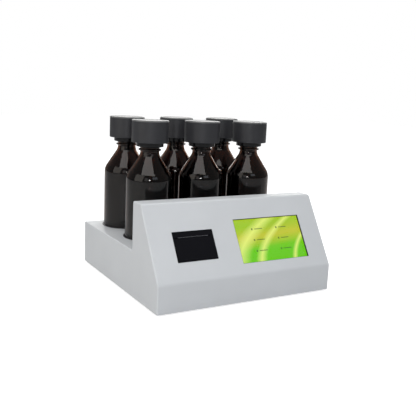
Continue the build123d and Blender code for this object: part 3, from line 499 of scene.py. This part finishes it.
def soft_rubber(name):
    """Matte rubber with a dusty grain."""
    return moulded(name, (0.022, 0.022, 0.023), 0.78, 1400.0, 0.2, 0.16)


def amber_glass(name):
    """Very dark amber glass with slow waves in its surface, painted lighter up the shoulder and neck as light
    showing through the glass there.
    """
    material, nodes, links, shader = shader_tree(name)
    tint = bpy.context.scene.analyzer_bottle.tint
    thick = [part * 0.8 for part in tint]
    drift = mapped(nodes, links, noise_value(nodes, links, 22.0, 2.0), 0.0, 1.0)
    body = mixed(nodes, links, drift, thick, tint)
    # Painted light: the tint turns lighter towards the rim, for the light that shows through the neck glass.
    neck = [min(1.0, part * 3.2) for part in tint]
    height = place_sockets(nodes, links)["Z"]
    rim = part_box("bottle_1")[1].z
    painted_neck_light = mapped(nodes, links, height, 0.0, 1.0, rim - 0.09, rim - 0.03)
    links.new(mixed(nodes, links, painted_neck_light, body, neck), shader.inputs["Base Color"])
    links.new(mapped(nodes, links, noise_value(nodes, links, 80.0), 0.015, 0.04), shader.inputs["Roughness"])
    set_inputs(shader, IOR=1.45)
    shader.inputs["Transmission Weight"].default_value = 1.0
    grained(nodes, links, shader, noise_value(nodes, links, 38.0, 1.0), 0.25, 0.0006)
    return material


def clear_glass(name):
    """Clear cover glass with faint wipe marks in its gloss."""
    material, nodes, links, shader = shader_tree(name)
    varied_colour(nodes, links, shader, (0.95, 0.97, 0.96), 0.01, 12.0)
    wipes = noise_value(nodes, links, 70.0, 4.0, (1.0, 0.3, 0.3))
    links.new(mapped(nodes, links, wipes, 0.0, 0.03), shader.inputs["Roughness"])
    set_inputs(shader, IOR=1.25)
    shader.inputs["Transmission Weight"].default_value = 1.0
    return material


def circuit_board(name):
    """Green board with copper tracks below its parts, and dark packages above it."""
    material, nodes, links, shader = shader_tree(name)
    tracks = nodes.new("ShaderNodeTexBrick")
    tracks.offset = 0.35
    set_inputs(tracks, Scale=110.0)
    tracks.inputs["Color1"].default_value = (0.006, 0.10, 0.035, 1.0)
    tracks.inputs["Color2"].default_value = (0.008, 0.13, 0.05, 1.0)
    tracks.inputs["Mortar"].default_value = (0.03, 0.22, 0.08, 1.0)
    tracks.inputs["Mortar Size"].default_value = 0.08
    links.new(object_coordinates(nodes, links), tracks.inputs["Vector"])
    low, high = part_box("main_board")
    height = place_sockets(nodes, links)["Z"]
    above = calculated(nodes, links, "GREATER_THAN", height, low.z + 0.0018)
    below_top = calculated(nodes, links, "LESS_THAN", height, high.z + 0.001)
    package = calculated(nodes, links, "MULTIPLY", above, below_top)
    dark = mapped(nodes, links, noise_value(nodes, links, 300.0), 0.015, 0.03)
    links.new(mixed(nodes, links, package, tracks.outputs["Color"], dark), shader.inputs["Base Color"])
    links.new(mapped(nodes, links, noise_value(nodes, links, 90.0), 0.3, 0.45), shader.inputs["Roughness"])
    return material


def inlet_plastic(name):
    """Black moulded socket whose blades are plated metal."""
    material, nodes, links, shader = shader_tree(name)
    low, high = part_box("power_inlet")
    middle = (low + high) / 2
    place = place_sockets(nodes, links)
    blade = calculated(nodes, links, "GREATER_THAN", place["Y"], high.y - BLADE_DEPTH)
    for axis, centre, reach in (("X", middle.x, BLADE_HALF_WIDTH), ("Z", middle.z, BLADE_HALF_HEIGHT)):
        blade = calculated(nodes, links, "MULTIPLY", blade, near(nodes, links, place[axis], centre, reach))
    shade = mapped(nodes, links, noise_value(nodes, links, 120.0), 0.0, 1.0)
    plastic = mixed(nodes, links, shade, (0.016, 0.016, 0.017), (0.024, 0.024, 0.026))
    links.new(mixed(nodes, links, blade, plastic, (0.62, 0.58, 0.5)), shader.inputs["Base Color"])
    links.new(blade, shader.inputs["Metallic"])
    links.new(mapped(nodes, links, noise_value(nodes, links, 400.0), 0.3, 0.42), shader.inputs["Roughness"])
    return material


def head_plastic(name):
    """Charcoal moulding with a satin grain, and a polished collar below it."""
    material, nodes, links, shader = shader_tree(name)
    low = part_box("head_shell_1")[0]
    sizes = bpy.context.scene.analyzer_head
    collar_top = low.z + sizes.collar_height - 0.0003
    collar = calculated(nodes, links, "LESS_THAN", place_sockets(nodes, links)["Z"], collar_top)
    drift = mapped(nodes, links, noise_value(nodes, links, 45.0), 0.0, 1.0)
    satin = mixed(nodes, links, drift, [part * 0.92 for part in sizes.colour], sizes.colour)
    links.new(mixed(nodes, links, collar, satin, (0.006, 0.006, 0.007)), shader.inputs["Base Color"])
    gloss = mapped(nodes, links, noise_value(nodes, links, 70.0, 4.0), 0.38, 0.46)
    polish = calculated(nodes, links, "MULTIPLY", collar, -0.3)
    links.new(calculated(nodes, links, "ADD", gloss, polish), shader.inputs["Roughness"])
    shader.inputs["Specular IOR Level"].default_value = 0.35
    grained(nodes, links, shader, noise_value(nodes, links, 1100.0, 2.0), 0.05, 0.0001)
    return material


def paper(name):
    """White thermal paper with the faint edges of its windings."""
    material, nodes, links, shader = shader_tree(name)
    windings = noise_value(nodes, links, 500.0, 2.0, (0.1, 1.0, 1.0))
    shade = mapped(nodes, links, windings, 0.0, 1.0)
    links.new(mixed(nodes, links, shade, (0.80, 0.80, 0.78), (0.90, 0.90, 0.88)), shader.inputs["Base Color"])
    set_inputs(shader, Roughness=0.6)
    grained(nodes, links, shader, windings, 0.1, 0.0001)
    return material


FINISHES = {
    "case_paint": powder_coat,
    "zinc_sheet": zinc_sheet,
    "foot_rubber": soft_rubber,
    "screw_steel": lambda name: brushed(name, (0.60, 0.60, 0.62), 0.3),
    "seat_black": lambda name: moulded(name, (0.012, 0.012, 0.014), 0.32),
    "motor_steel": lambda name: brushed(name, (0.52, 0.53, 0.55), 0.34, (18.0, 18.0, 1.0)),
    "screen_glass": clear_glass,
    "display_face": lambda name: moulded(name, (0.02, 0.02, 0.022), 0.3),
    "circuit_board": circuit_board,
    "cable_grey": lambda name: moulded(name, (0.42, 0.42, 0.44), 0.5, 500.0, 0.3),
    "supply_case": lambda name: brushed(name, (0.56, 0.57, 0.59), 0.36),
    "printer_black": lambda name: moulded(name, (0.004, 0.004, 0.006), 0.12, 700.0, 0.03, 0.08, 0.3),
    "print_steel": lambda name: brushed(name, (0.20, 0.20, 0.22), 0.34),
    "roller_rubber": soft_rubber,
    "paper_white": paper,
    "connector_black": inlet_plastic,
    "rocker_black": lambda name: moulded(name, (0.014, 0.014, 0.016), 0.25),
    "port_metal": lambda name: brushed(name, (0.66, 0.66, 0.68), 0.28),
    "amber_glass": amber_glass,
    "cup_rubber": soft_rubber,
    "head_plastic": head_plastic,
    "cover_plastic": lambda name: moulded(name, (0.13, 0.13, 0.132), 0.32, 1100.0, 0.04),
    "stir_white": lambda name: moulded(name, (0.82, 0.82, 0.81), 0.3),
    "rotor_metal": lambda name: brushed(name, (0.63, 0.64, 0.66), 0.3),
}


def finish_of(slot):
    """The material of a slot, made when it is first asked for."""
    name = f"{slot}_finish"
    return bpy.data.materials.get(name) or FINISHES[slot](name)


# Meshes

def finish_piece(bm, name, body, slot, nodes=(), material=None):
    """Turns a bmesh into a smooth-shaded piece that rides on a body and stands for its nodes."""
    mesh = bpy.data.meshes.new(name)
    bm.to_mesh(mesh)
    bm.free()
    mesh.shade_smooth()
    mesh.set_sharp_from_angle(angle=SMOOTH_ANGLE)
    mesh.materials.append(material or finish_of(slot))
    piece = bpy.data.objects.new(name, mesh)
    bpy.context.scene.collection.objects.link(piece)
    flats = piece.modifiers.new("flats", "WEIGHTED_NORMAL")
    flats.mode = "FACE_AREA"
    flats.weight = 90
    flats.keep_sharp = True
    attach(piece, body)
    if nodes:
        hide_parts(*nodes)
    return piece


def soften(bm, edges, width):
    """Bevels edges by a width."""
    bmesh.ops.bevel(
        bm, geom=edges, offset=width, offset_type="OFFSET", segments=2, profile=0.5, affect="EDGES",
        clamp_overlap=True, material=-1,
    )


def dress(node, edge=0.0):
    """Gives a node's shape merged points, soft edges and its finish."""
    bm = bmesh.new()
    bm.from_mesh(frame["nodes"][node].data)
    bmesh.ops.remove_doubles(bm, verts=bm.verts, dist=MERGE_DISTANCE)
    bmesh.ops.dissolve_limit(bm, angle_limit=FLAT_ANGLE, verts=bm.verts, edges=bm.edges)
    if edge:
        sharp = [e for e in bm.edges if len(e.link_faces) == 2 and e.calc_face_angle() > EDGE_ANGLE]
        soften(bm, sharp, edge)
    bmesh.ops.triangulate(bm, faces=[face for face in bm.faces if len(face.verts) > 4])
    return finish_piece(bm, f"{node}_dressed", frame["nodes"][node]["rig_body"], SLOTS[node], (node,))


def rounded_outline(corners):
    """Points of an outline given as (radius, height, bend), with each bend as an arc."""
    points = [Vector(corners[0][:2])]
    for before, corner, after in zip(corners, corners[1:], corners[2:]):
        tip = Vector(corner[:2])
        bend = corner[2]
        if not bend:
            points.append(tip)
            continue
        back = (Vector(before[:2]) - tip).normalized()
        ahead = (Vector(after[:2]) - tip).normalized()
        half = back.angle(ahead) / 2
        centre = tip + (back + ahead).normalized() * (bend / math.sin(half))
        reach = bend / math.tan(half)
        start = math.atan2(*reversed(tip + back * reach - centre))
        end = math.atan2(*reversed(tip + ahead * reach - centre))
        sweep = (end - start + math.pi) % FULL_TURN - math.pi
        for step in range(BEND_STEPS + 1):
            angle = start + sweep * step / BEND_STEPS
            points.append(centre + Vector((math.cos(angle), math.sin(angle))) * bend)
    points.append(Vector(corners[-1][:2]))
    return points


def lathe(outlines, centre, closed=False):
    """A bmesh of one or more outlines turned round the upright axis through centre."""
    bm = bmesh.new()
    for points in outlines:
        verts = [bm.verts.new((point.x, 0.0, point.y)) for point in points]
        edges = [bm.edges.new(pair) for pair in zip(verts, verts[1:])]
        if closed:
            edges.append(bm.edges.new((verts[-1], verts[0])))
        bmesh.ops.spin(
            bm, geom=verts + edges, cent=(0.0, 0.0, 0.0), axis=(0.0, 0.0, 1.0), angle=FULL_TURN,
            steps=bpy.context.scene.analyzer_bottle.steps, use_merge=True,
        )
    bmesh.ops.remove_doubles(bm, verts=bm.verts, dist=MERGE_DISTANCE)
    bmesh.ops.recalc_face_normals(bm, faces=bm.faces)
    bmesh.ops.translate(bm, verts=bm.verts, vec=centre)
    return bm


def panel_plate(width, height, thickness, matrix):
    """A bmesh plate with its front face on the panel place that the matrix gives."""
    bm = bmesh.new()
    bmesh.ops.create_cube(bm, size=1.0)
    bmesh.ops.scale(bm, vec=(width, height, thickness), verts=bm.verts)
    bmesh.ops.translate(bm, vec=(0.0, 0.0, -thickness / 2), verts=bm.verts)
    bmesh.ops.transform(bm, matrix=matrix, verts=bm.verts)
    return bm


class PieceOperator:
    """What all the piece operators share."""

    bl_options = {"REGISTER", "UNDO"}

    def execute(self, context):
        self.build(context.scene)
        return {"FINISHED"}


class ANALYZER_OT_casing(PieceOperator, bpy.types.Operator):
    """Dress the sheet casing, its base, rear panel, feet and fasteners"""

    bl_idname = "analyzer.casing"
    bl_label = "Casing"

    def build(self, scene):
        for node in ("top_cover", "rear_panel", "base_plate", "feet", "fasteners"):
            dress(node, scene.analyzer_casing.edge)


class ANALYZER_OT_seats(PieceOperator, bpy.types.Operator):
    """Dress the seat rings that the bottles stand in"""

    bl_idname = "analyzer.seats"
    bl_label = "Seats"

    def build(self, scene):
        dress("bottle_seats", scene.analyzer_casing.edge)


class ANALYZER_OT_bottles(PieceOperator, bpy.types.Operator):
    """Turn the amber bottles with their beads and mouth rings"""

    bl_idname = "analyzer.bottles"
    bl_label = "Bottles"

    def build(self, scene):
        for number in STATIONS:
            node = f"bottle_{number}"
            outline = rounded_outline(self.outline(scene.analyzer_bottle, node))
            bm = lathe([outline], station_centre(number))
            finish_piece(bm, f"amber_bottle_{number}", node, SLOTS[node], (node,))

    def outline(self, sizes, node):
        """The bottle's outer wall up from the middle of its foot, over the rim and down its inside."""
        low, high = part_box(node)
        foot = low.z
        rim = high.z
        radius = (high.x - low.x) / 2
        inner = radius - sizes.wall
        body = foot + sizes.body_height
        neck = body + sizes.cone_height
        bead = rim - BEAD_DROP
        crest = sizes.finish_radius + THREAD_DEPTH
        outer = [
            (0.0, foot + FOOT_HOLLOW, 0.0),
            (FOOT_HOLLOW_RADIUS, foot + FOOT_HOLLOW, 0.002),
            (FOOT_RING_RADIUS, foot, 0.002),
            (radius, foot, 0.005),
            (radius, body, SHOULDER_BEND),
            (sizes.neck_radius, neck, NECK_BEND),
            (sizes.neck_radius, bead - BEAD_FOOT, 0.0006),
            (sizes.bead_radius, bead - BEAD_HALF, 0.0011),
            (sizes.bead_radius, bead + BEAD_HALF, 0.0011),
            (sizes.neck_radius, bead + BEAD_FOOT, 0.0005),
            (sizes.neck_radius, rim - FINISH_DROP, 0.0005),
            (sizes.finish_radius, rim - FINISH_DROP + FINISH_SLOPE, 0.0005),
        ]
        for turn in reversed(range(THREAD_TURNS)):
            ring = rim - THREAD_DROP - turn * THREAD_PITCH
            outer += [
                (sizes.finish_radius, ring - THREAD_FOOT, 0.0003),
                (crest, ring - THREAD_CREST, 0.0004),
                (crest, ring + THREAD_CREST, 0.0004),
                (sizes.finish_radius, ring + THREAD_FOOT, 0.0003),
            ]
        inside = [
            (sizes.finish_radius, rim, 0.0012),
            (sizes.mouth_radius, rim, 0.0012),
            (sizes.mouth_radius, neck - sizes.wall / 2, NECK_BEND),
            (inner, body - sizes.wall / 2, SHOULDER_BEND_INSIDE),
            (inner, foot + sizes.floor, 0.005),
            (0.0, foot + sizes.floor, 0.0),
        ]
        return outer + inside


class ANALYZER_OT_cups(PieceOperator, bpy.types.Operator):
    """Dress the rubber cups that hang in the bottle mouths"""

    bl_idname = "analyzer.cups"
    bl_label = "Cups"

    def build(self, scene):
        for number in STATIONS:
            dress(f"alkali_cup_{number}", scene.analyzer_casing.edge)


class ANALYZER_OT_heads(PieceOperator, bpy.types.Operator):
    """Turn the pressure heads: shell, cover and the sensor board inside"""

    bl_idname = "analyzer.heads"
    bl_label = "Heads"

    def build(self, scene):
        sizes = scene.analyzer_head
        for number in STATIONS:
            centre = station_centre(number)
            shell = f"head_shell_{number}"
            module = f"sensor_module_{number}"
            body = f"head_{number}"
            bm = lathe([rounded_outline(self.shell(sizes, shell, module))], centre, closed=True)
            finish_piece(bm, f"head_body_{number}", body, SLOTS[shell], (shell,))
            bm = lathe([rounded_outline(self.cover(sizes, shell, module))], centre)
            finish_piece(bm, f"head_cover_{number}", body, SLOTS[module], (module,))
            bm = lathe([rounded_outline(self.sensor(module))], centre)
            finish_piece(bm, f"head_sensor_{number}", body, "circuit_board")

    def shell(self, sizes, shell, module):
        """The shell's outline, from the foot of its socket round its outside and back inside."""
        low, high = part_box(shell)
        radius = (high.x - low.x) / 2
        under = low.z + sizes.collar_height
        roof = low.z + WEB_HEIGHT
        floor = roof + WEB_THICKNESS
        return [
            (sizes.socket_radius, low.z + 0.001, 0.0),
            (sizes.socket_radius, low.z, 0.0006),
            (sizes.collar_radius, low.z, sizes.edge),
            (sizes.collar_radius, under, 0.0008),
            (radius, under, sizes.edge),
            (radius, high.z - SEAM_CHAMFER, 0.0),
            (radius - SEAM_CHAMFER, high.z, 0.0),
            (radius - sizes.wall, high.z, 0.0),
            (radius - sizes.wall, under + WEB_THICKNESS, 0.001),
            (sizes.collar_radius, under + WEB_THICKNESS, 0.001),
            (sizes.collar_radius, floor, 0.0),
            (PORT_RADIUS, floor, 0.0),
            (PORT_RADIUS, roof, 0.0),
            (sizes.socket_radius, roof, 0.0),
        ]

    def cover(self, sizes, shell, module):
        """The cover's outline, from the middle of its top over its edge to its spigot and underside."""
        low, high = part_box(shell)
        radius = (high.x - low.x) / 2
        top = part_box(module)[1].z
        seam = high.z
        spigot = radius - sizes.wall - SPIGOT_GAP
        sunk = top - sizes.disc_depth
        return [
            (0.0, sunk, 0.0),
            (sizes.disc_radius - 0.0003, sunk, 0.0),
            (sizes.disc_radius, top, 0.0002),
            (radius, top, sizes.edge),
            (radius, seam + SEAM_CHAMFER, 0.0),
            (radius - SEAM_CHAMFER, seam, 0.0),
            (spigot, seam, 0.0),
            (spigot, seam - SPIGOT_DEPTH, 0.0004),
            (spigot - SPIGOT_WALL, seam - SPIGOT_DEPTH, 0.0004),
            (spigot - SPIGOT_WALL, seam, 0.0),
            (0.0, seam, 0.0),
        ]

    def sensor(self, module):
        """The outline of the cell, the board and the pressure sensor's can with its nozzle."""
        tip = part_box(module)[0].z
        can = tip + NOZZLE_LENGTH
        board = can + CAN_HEIGHT
        face = board + BOARD_THICKNESS
        return [
            (0.0, face + CELL_HEIGHT, 0.0),
            (CELL_RADIUS, face + CELL_HEIGHT, 0.0008),
            (CELL_RADIUS, face, 0.0),
            (BOARD_RADIUS, face, 0.0003),
            (BOARD_RADIUS, board, 0.0003),
            (CAN_RADIUS, board, 0.0),
            (CAN_RADIUS, can, 0.0005),
            (NOZZLE_RADIUS, can, 0.0),
            (NOZZLE_RADIUS, tip, 0.0003),
            (0.0, tip, 0.0),
        ]


class ANALYZER_OT_stirrers(PieceOperator, bpy.types.Operator):
    """Dress the stir bars, rotors, motors and their brackets"""

    bl_idname = "analyzer.stirrers"
    bl_label = "Stirrers"

    def build(self, scene):
        edge = scene.analyzer_casing.edge
        for node in ("stir_motors", "motor_brackets"):
            dress(node, edge)
        for number in STATIONS:
            dress(f"stir_bar_{number}")
            dress(f"rotor_{number}", edge)


class ANALYZER_OT_screen(PieceOperator, bpy.types.Operator):
    """Build the touch glass and the lit picture behind it"""

    bl_idname = "analyzer.screen"
    bl_label = "Screen"

    def build(self, scene):
        sizes = scene.analyzer_screen
        casing = scene.analyzer_casing
        dress("display_module", casing.edge)
        dress("display_board")
        dress("screen_gasket", casing.edge)
        # Painted shade: a dark lip lines the window's recess.
        self.shade_lip(sizes, casing)
        glass_depth = sizes.face_depth - sizes.glass - GLASS_GAP
        width = sizes.width + 2 * GLASS_MARGIN
        height = sizes.height + 2 * GLASS_MARGIN
        bm = panel_plate(width, height, sizes.glass, panel_matrix(casing, sizes.across, glass_depth))
        soften(bm, bm.edges[:], GLASS_EDGE)
        finish_piece(bm, "touch_glass_plate", "root", SLOTS["touch_glass"], ("touch_glass",))
        place = panel_matrix(casing, sizes.across, sizes.face_depth - PICTURE_THICKNESS)
        width = sizes.width + 2 * PICTURE_OVERLAP
        height = sizes.height + 2 * PICTURE_OVERLAP
        bm = panel_plate(width, height, PICTURE_THICKNESS, place)
        picture = self.picture("screen_picture_light", sizes, place)
        finish_piece(bm, "screen_picture", "root", "display_face", (), picture)

    def shade_lip(self, sizes, casing):
        """A dark lip that lines the window's edge: painted shade of the recess, along with the gasket's own
        black edge.
        """
        bm = bmesh.new()
        rings = []
        for inset in (0.0, SHADE_LIP_THICKNESS):
            across = sizes.width / 2 - inset
            rise = sizes.height / 2 - inset
            for depth in SHADE_LIP_DEPTHS:
                corners = ((-across, -rise), (across, -rise), (across, rise), (-across, rise))
                rings.append([bm.verts.new((*corner, -depth)) for corner in corners])
        outer_front, outer_back, inner_front, inner_back = rings
        for first, second in (
            (outer_front, outer_back), (outer_back, inner_back), (inner_back, inner_front),
            (inner_front, outer_front),
        ):
            for side in range(4):
                ahead = (side + 1) % 4
                bm.faces.new((first[side], first[ahead], second[ahead], second[side]))
        bmesh.ops.recalc_face_normals(bm, faces=bm.faces)
        bmesh.ops.transform(bm, matrix=panel_matrix(casing, sizes.across), verts=bm.verts)
        finish_piece(bm, "screen_shade_lip", "root", SLOTS["screen_gasket"])

    def picture(self, name, sizes, place):
        """A lit picture: greens round an olive band, soft light sweeps and three rows of small marks."""
        material, nodes, links, shader = shader_tree(name)
        source = nodes.new("ShaderNodeTexCoord")
        mapping = nodes.new("ShaderNodeMapping")
        inverse = place.inverted()
        mapping.inputs["Location"].default_value = inverse.to_translation()
        mapping.inputs["Rotation"].default_value = inverse.to_euler()
        links.new(source.outputs["Object"], mapping.inputs["Vector"])
        parts = nodes.new("ShaderNodeSeparateXYZ")
        links.new(mapping.outputs["Vector"], parts.inputs["Vector"])
        right = calculated(nodes, links, "DIVIDE", parts.outputs["X"], sizes.width / 2)
        up = calculated(nodes, links, "DIVIDE", parts.outputs["Y"], sizes.height / 2)

        tilt = calculated(nodes, links, "ADD", up, calculated(nodes, links, "MULTIPLY", right, -0.12))
        from_band = calculated(nodes, links, "ABSOLUTE", calculated(nodes, links, "SUBTRACT", tilt, 0.22))
        band = mapped(nodes, links, from_band, 1.0, 0.0, 0.05, 0.55)
        lime = [0.3 * a + 0.7 * b for a, b in zip(sizes.green, sizes.olive)]
        height = mapped(nodes, links, up, 0.0, 1.0, -0.5, 1.2)
        ground = mixed(nodes, links, height, sizes.green, lime)
        colour = mixed(nodes, links, band, ground, sizes.olive)
        up_squared = calculated(nodes, links, "MULTIPLY", up, up)
        curve = calculated(nodes, links, "MULTIPLY", up_squared, SWEEP_CURVE)
        for slope, offset, width in SWEEPS:
            lean = calculated(nodes, links, "MULTIPLY", up, slope)
            line = calculated(nodes, links, "ADD", calculated(nodes, links, "ADD", lean, curve), offset)
            away = calculated(nodes, links, "SUBTRACT", right, line)
            sweep = mapped(nodes, links, calculated(nodes, links, "ABSOLUTE", away), 0.8, 0.0, 0.0, width)
            colour = mixed(nodes, links, sweep, colour, sizes.cream)
        marks = 0.0
        for row in MARK_ROWS:
            for column in MARK_COLUMNS:
                for shift, half_width, half_height in MARKS:
                    across = near(nodes, links, right, column + shift, half_width)
                    rise = near(nodes, links, up, row, half_height)
                    mark = calculated(nodes, links, "MULTIPLY", across, rise)
                    marks = calculated(nodes, links, "ADD", marks, mark)
        shade = calculated(nodes, links, "MULTIPLY", marks, 0.75)
        colour = mixed(nodes, links, shade, colour, (0.03, 0.10, 0.01))
        shader.inputs["Base Color"].default_value = (0.01, 0.012, 0.01, 1.0)
        links.new(colour, shader.inputs["Emission Color"])
        shader.inputs["Emission Strength"].default_value = sizes.glow
        shader.inputs["Specular IOR Level"].default_value = 0.1
        links.new(mapped(nodes, links, noise_value(nodes, links, 50.0), 0.6, 0.7), shader.inputs["Roughness"])
        return material


class ANALYZER_OT_printer(PieceOperator, bpy.types.Operator):
    """Dress the panel printer: housing, door, head, roller and paper"""

    bl_idname = "analyzer.printer"
    bl_label = "Printer"

    def build(self, scene):
        for node in ("printer_body", "printer_door", "print_head"):
            dress(node, scene.analyzer_casing.edge)
        for node in ("platen_roller", "paper_roll"):
            dress(node)


class ANALYZER_OT_electronics(PieceOperator, bpy.types.Operator):
    """Dress the boards, the flat cable and the power supply inside"""

    bl_idname = "analyzer.electronics"
    bl_label = "Electronics"

    def build(self, scene):
        for node in ("main_board", "ribbon_cable", "power_supply"):
            dress(node)


class ANALYZER_OT_rear_sockets(PieceOperator, bpy.types.Operator):
    """Dress the mains inlet, the power switch and the data port"""

    bl_idname = "analyzer.rear_sockets"
    bl_label = "Rear sockets"

    def build(self, scene):
        for node in ("power_inlet", "power_switch", "switch_rocker", "data_port"):
            dress(node, scene.analyzer_casing.edge)


class ANALYZER_OT_stage(PieceOperator, bpy.types.Operator):
    """Set the floor, the lamps, the world and the camera"""

    bl_idname = "analyzer.stage"
    bl_label = "Stage"

    def build(self, scene):
        self.floor(scene.analyzer_stage)
        self.world(scene)
        self.lamps()
        self.camera(scene)
        scene.view_settings.view_transform = "Standard"

    def floor(self, sizes):
        bm = bmesh.new()
        bmesh.ops.create_grid(bm, x_segments=1, y_segments=1, size=sizes.floor_size / 2)
        mesh = bpy.data.meshes.new("floor")
        bm.to_mesh(mesh)
        bm.free()
        floor = bpy.data.objects.new("floor", mesh)
        bpy.context.scene.collection.objects.link(floor)
        material, nodes, links, shader = shader_tree("floor_paper")
        varied_colour(nodes, links, shader, FLOOR_GREY, 0.01, 3.0)
        set_inputs(shader, Roughness=0.9)
        glow = nodes.new("ShaderNodeEmission")
        set_inputs(glow, Color=(1.0, 1.0, 1.0, 1.0))
        share = background_share(nodes, links)
        links.new(calculated(nodes, links, "MULTIPLY", share, FLOOR_GLOW), glow.inputs["Strength"])
        both = nodes.new("ShaderNodeAddShader")
        links.new(shader.outputs["BSDF"], both.inputs[0])
        links.new(glow.outputs["Emission"], both.inputs[1])
        links.new(both.outputs["Shader"], nodes["Material Output"].inputs["Surface"])
        mesh.materials.append(material)

    def world(self, scene):
        world = bpy.data.worlds.new("studio")
        scene.world = world
        world.use_nodes = True
        nodes = world.node_tree.nodes
        links = world.node_tree.links
        soft = nodes["Background"]
        set_inputs(soft, Color=(0.96, 0.98, 1.0, 1.0), Strength=SOFT_LIGHT)
        white = nodes.new("ShaderNodeBackground")
        set_inputs(white, Color=(1.0, 1.0, 1.0, 1.0), Strength=BACKGROUND_LIGHT)
        gloss = nodes.new("ShaderNodeBackground")
        set_inputs(gloss, Color=(1.0, 1.0, 1.0, 1.0), Strength=GLOSS_LIGHT)
        rays = nodes.new("ShaderNodeLightPath")
        direct = calculated(
            nodes, links, "MAXIMUM", rays.outputs["Is Camera Ray"], rays.outputs["Is Transmission Ray"],
        )
        mirrored = nodes.new("ShaderNodeMixShader")
        links.new(rays.outputs["Is Glossy Ray"], mirrored.inputs["Fac"])
        links.new(soft.outputs["Background"], mirrored.inputs[1])
        links.new(gloss.outputs["Background"], mirrored.inputs[2])
        pick = nodes.new("ShaderNodeMixShader")
        links.new(direct, pick.inputs["Fac"])
        links.new(mirrored.outputs["Shader"], pick.inputs[1])
        links.new(white.outputs["Background"], pick.inputs[2])
        links.new(pick.outputs["Shader"], nodes["World Output"].inputs["Surface"])

    def lamps(self):
        """Soft boxes left, in front, above and behind, and a small lamp near the camera."""
        for name, place, target, width, height, power, colour in LAMPS:
            lamp = bpy.data.lights.new(name, "AREA")
            lamp.shape = "RECTANGLE"
            lamp.size = width
            lamp.size_y = height
            lamp.energy = power
            lamp.color = colour
            holder = bpy.data.objects.new(name, lamp)
            bpy.context.scene.collection.objects.link(holder)
            holder.location = place
            aim = Vector(target) - Vector(place)
            holder.rotation_euler = aim.to_track_quat("-Z", "Y").to_euler()

    def camera(self, scene):
        sizes = scene.analyzer_stage
        ahead = Vector((
            math.sin(sizes.yaw) * math.cos(sizes.pitch),
            math.cos(sizes.yaw) * math.cos(sizes.pitch),
            -math.sin(sizes.pitch),
        ))
        level = Vector((math.cos(sizes.yaw), -math.sin(sizes.yaw), 0.0))
        above = level.cross(ahead)
        right = level * math.cos(sizes.roll) + above * math.sin(sizes.roll)
        up = above * math.cos(sizes.roll) - level * math.sin(sizes.roll)
        camera = bpy.data.cameras.new("camera")
        camera.lens = sizes.lens
        camera.sensor_width = 36.0
        holder = bpy.data.objects.new("camera", camera)
        scene.collection.objects.link(holder)
        turn = Matrix((right, up, -ahead)).transposed().to_4x4()
        holder.matrix_world = Matrix.Translation(Vector(sizes.eye)) @ turn
        scene.camera = holder


PIECE_OPERATORS = (
    ANALYZER_OT_casing,
    ANALYZER_OT_seats,
    ANALYZER_OT_bottles,
    ANALYZER_OT_cups,
    ANALYZER_OT_heads,
    ANALYZER_OT_stirrers,
    ANALYZER_OT_screen,
    ANALYZER_OT_printer,
    ANALYZER_OT_electronics,
    ANALYZER_OT_rear_sockets,
    ANALYZER_OT_stage,
)
SETTINGS = {
    "analyzer_casing": CasingSizes,
    "analyzer_bottle": BottleSizes,
    "analyzer_head": HeadSizes,
    "analyzer_screen": ScreenSizes,
    "analyzer_stage": StageSizes,
}


class ANALYZER_PT_sidebar(bpy.types.Panel):
    """Lists the pieces and their sizes"""

    bl_idname = "ANALYZER_PT_sidebar"
    bl_label = "Analyzer"
    bl_space_type = "VIEW_3D"
    bl_region_type = "UI"
    bl_category = "Analyzer"

    def draw(self, context):
        for operator in PIECE_OPERATORS:
            self.layout.operator(operator.bl_idname)
        for setting in SETTINGS:
            group = getattr(context.scene, setting)
            column = self.layout.column()
            for name in group.__annotations__:
                column.prop(group, name)


def register():
    for group in SETTINGS.values():
        bpy.utils.register_class(group)
    for name, group in SETTINGS.items():
        setattr(bpy.types.Scene, name, PointerProperty(type=group))
    for operator in PIECE_OPERATORS:
        bpy.utils.register_class(operator)
    bpy.utils.register_class(ANALYZER_PT_sidebar)


def unregister():
    bpy.utils.unregister_class(ANALYZER_PT_sidebar)
    for operator in reversed(PIECE_OPERATORS):
        bpy.utils.unregister_class(operator)
    for name in SETTINGS:
        delattr(bpy.types.Scene, name)
    for group in reversed(SETTINGS.values()):
        bpy.utils.unregister_class(group)


def main():
    register()
    for operator in PIECE_OPERATORS:
        name = operator.bl_idname.split(".")[1]
        getattr(bpy.ops.analyzer, name)()


if __name__ == "__main__":
    main()
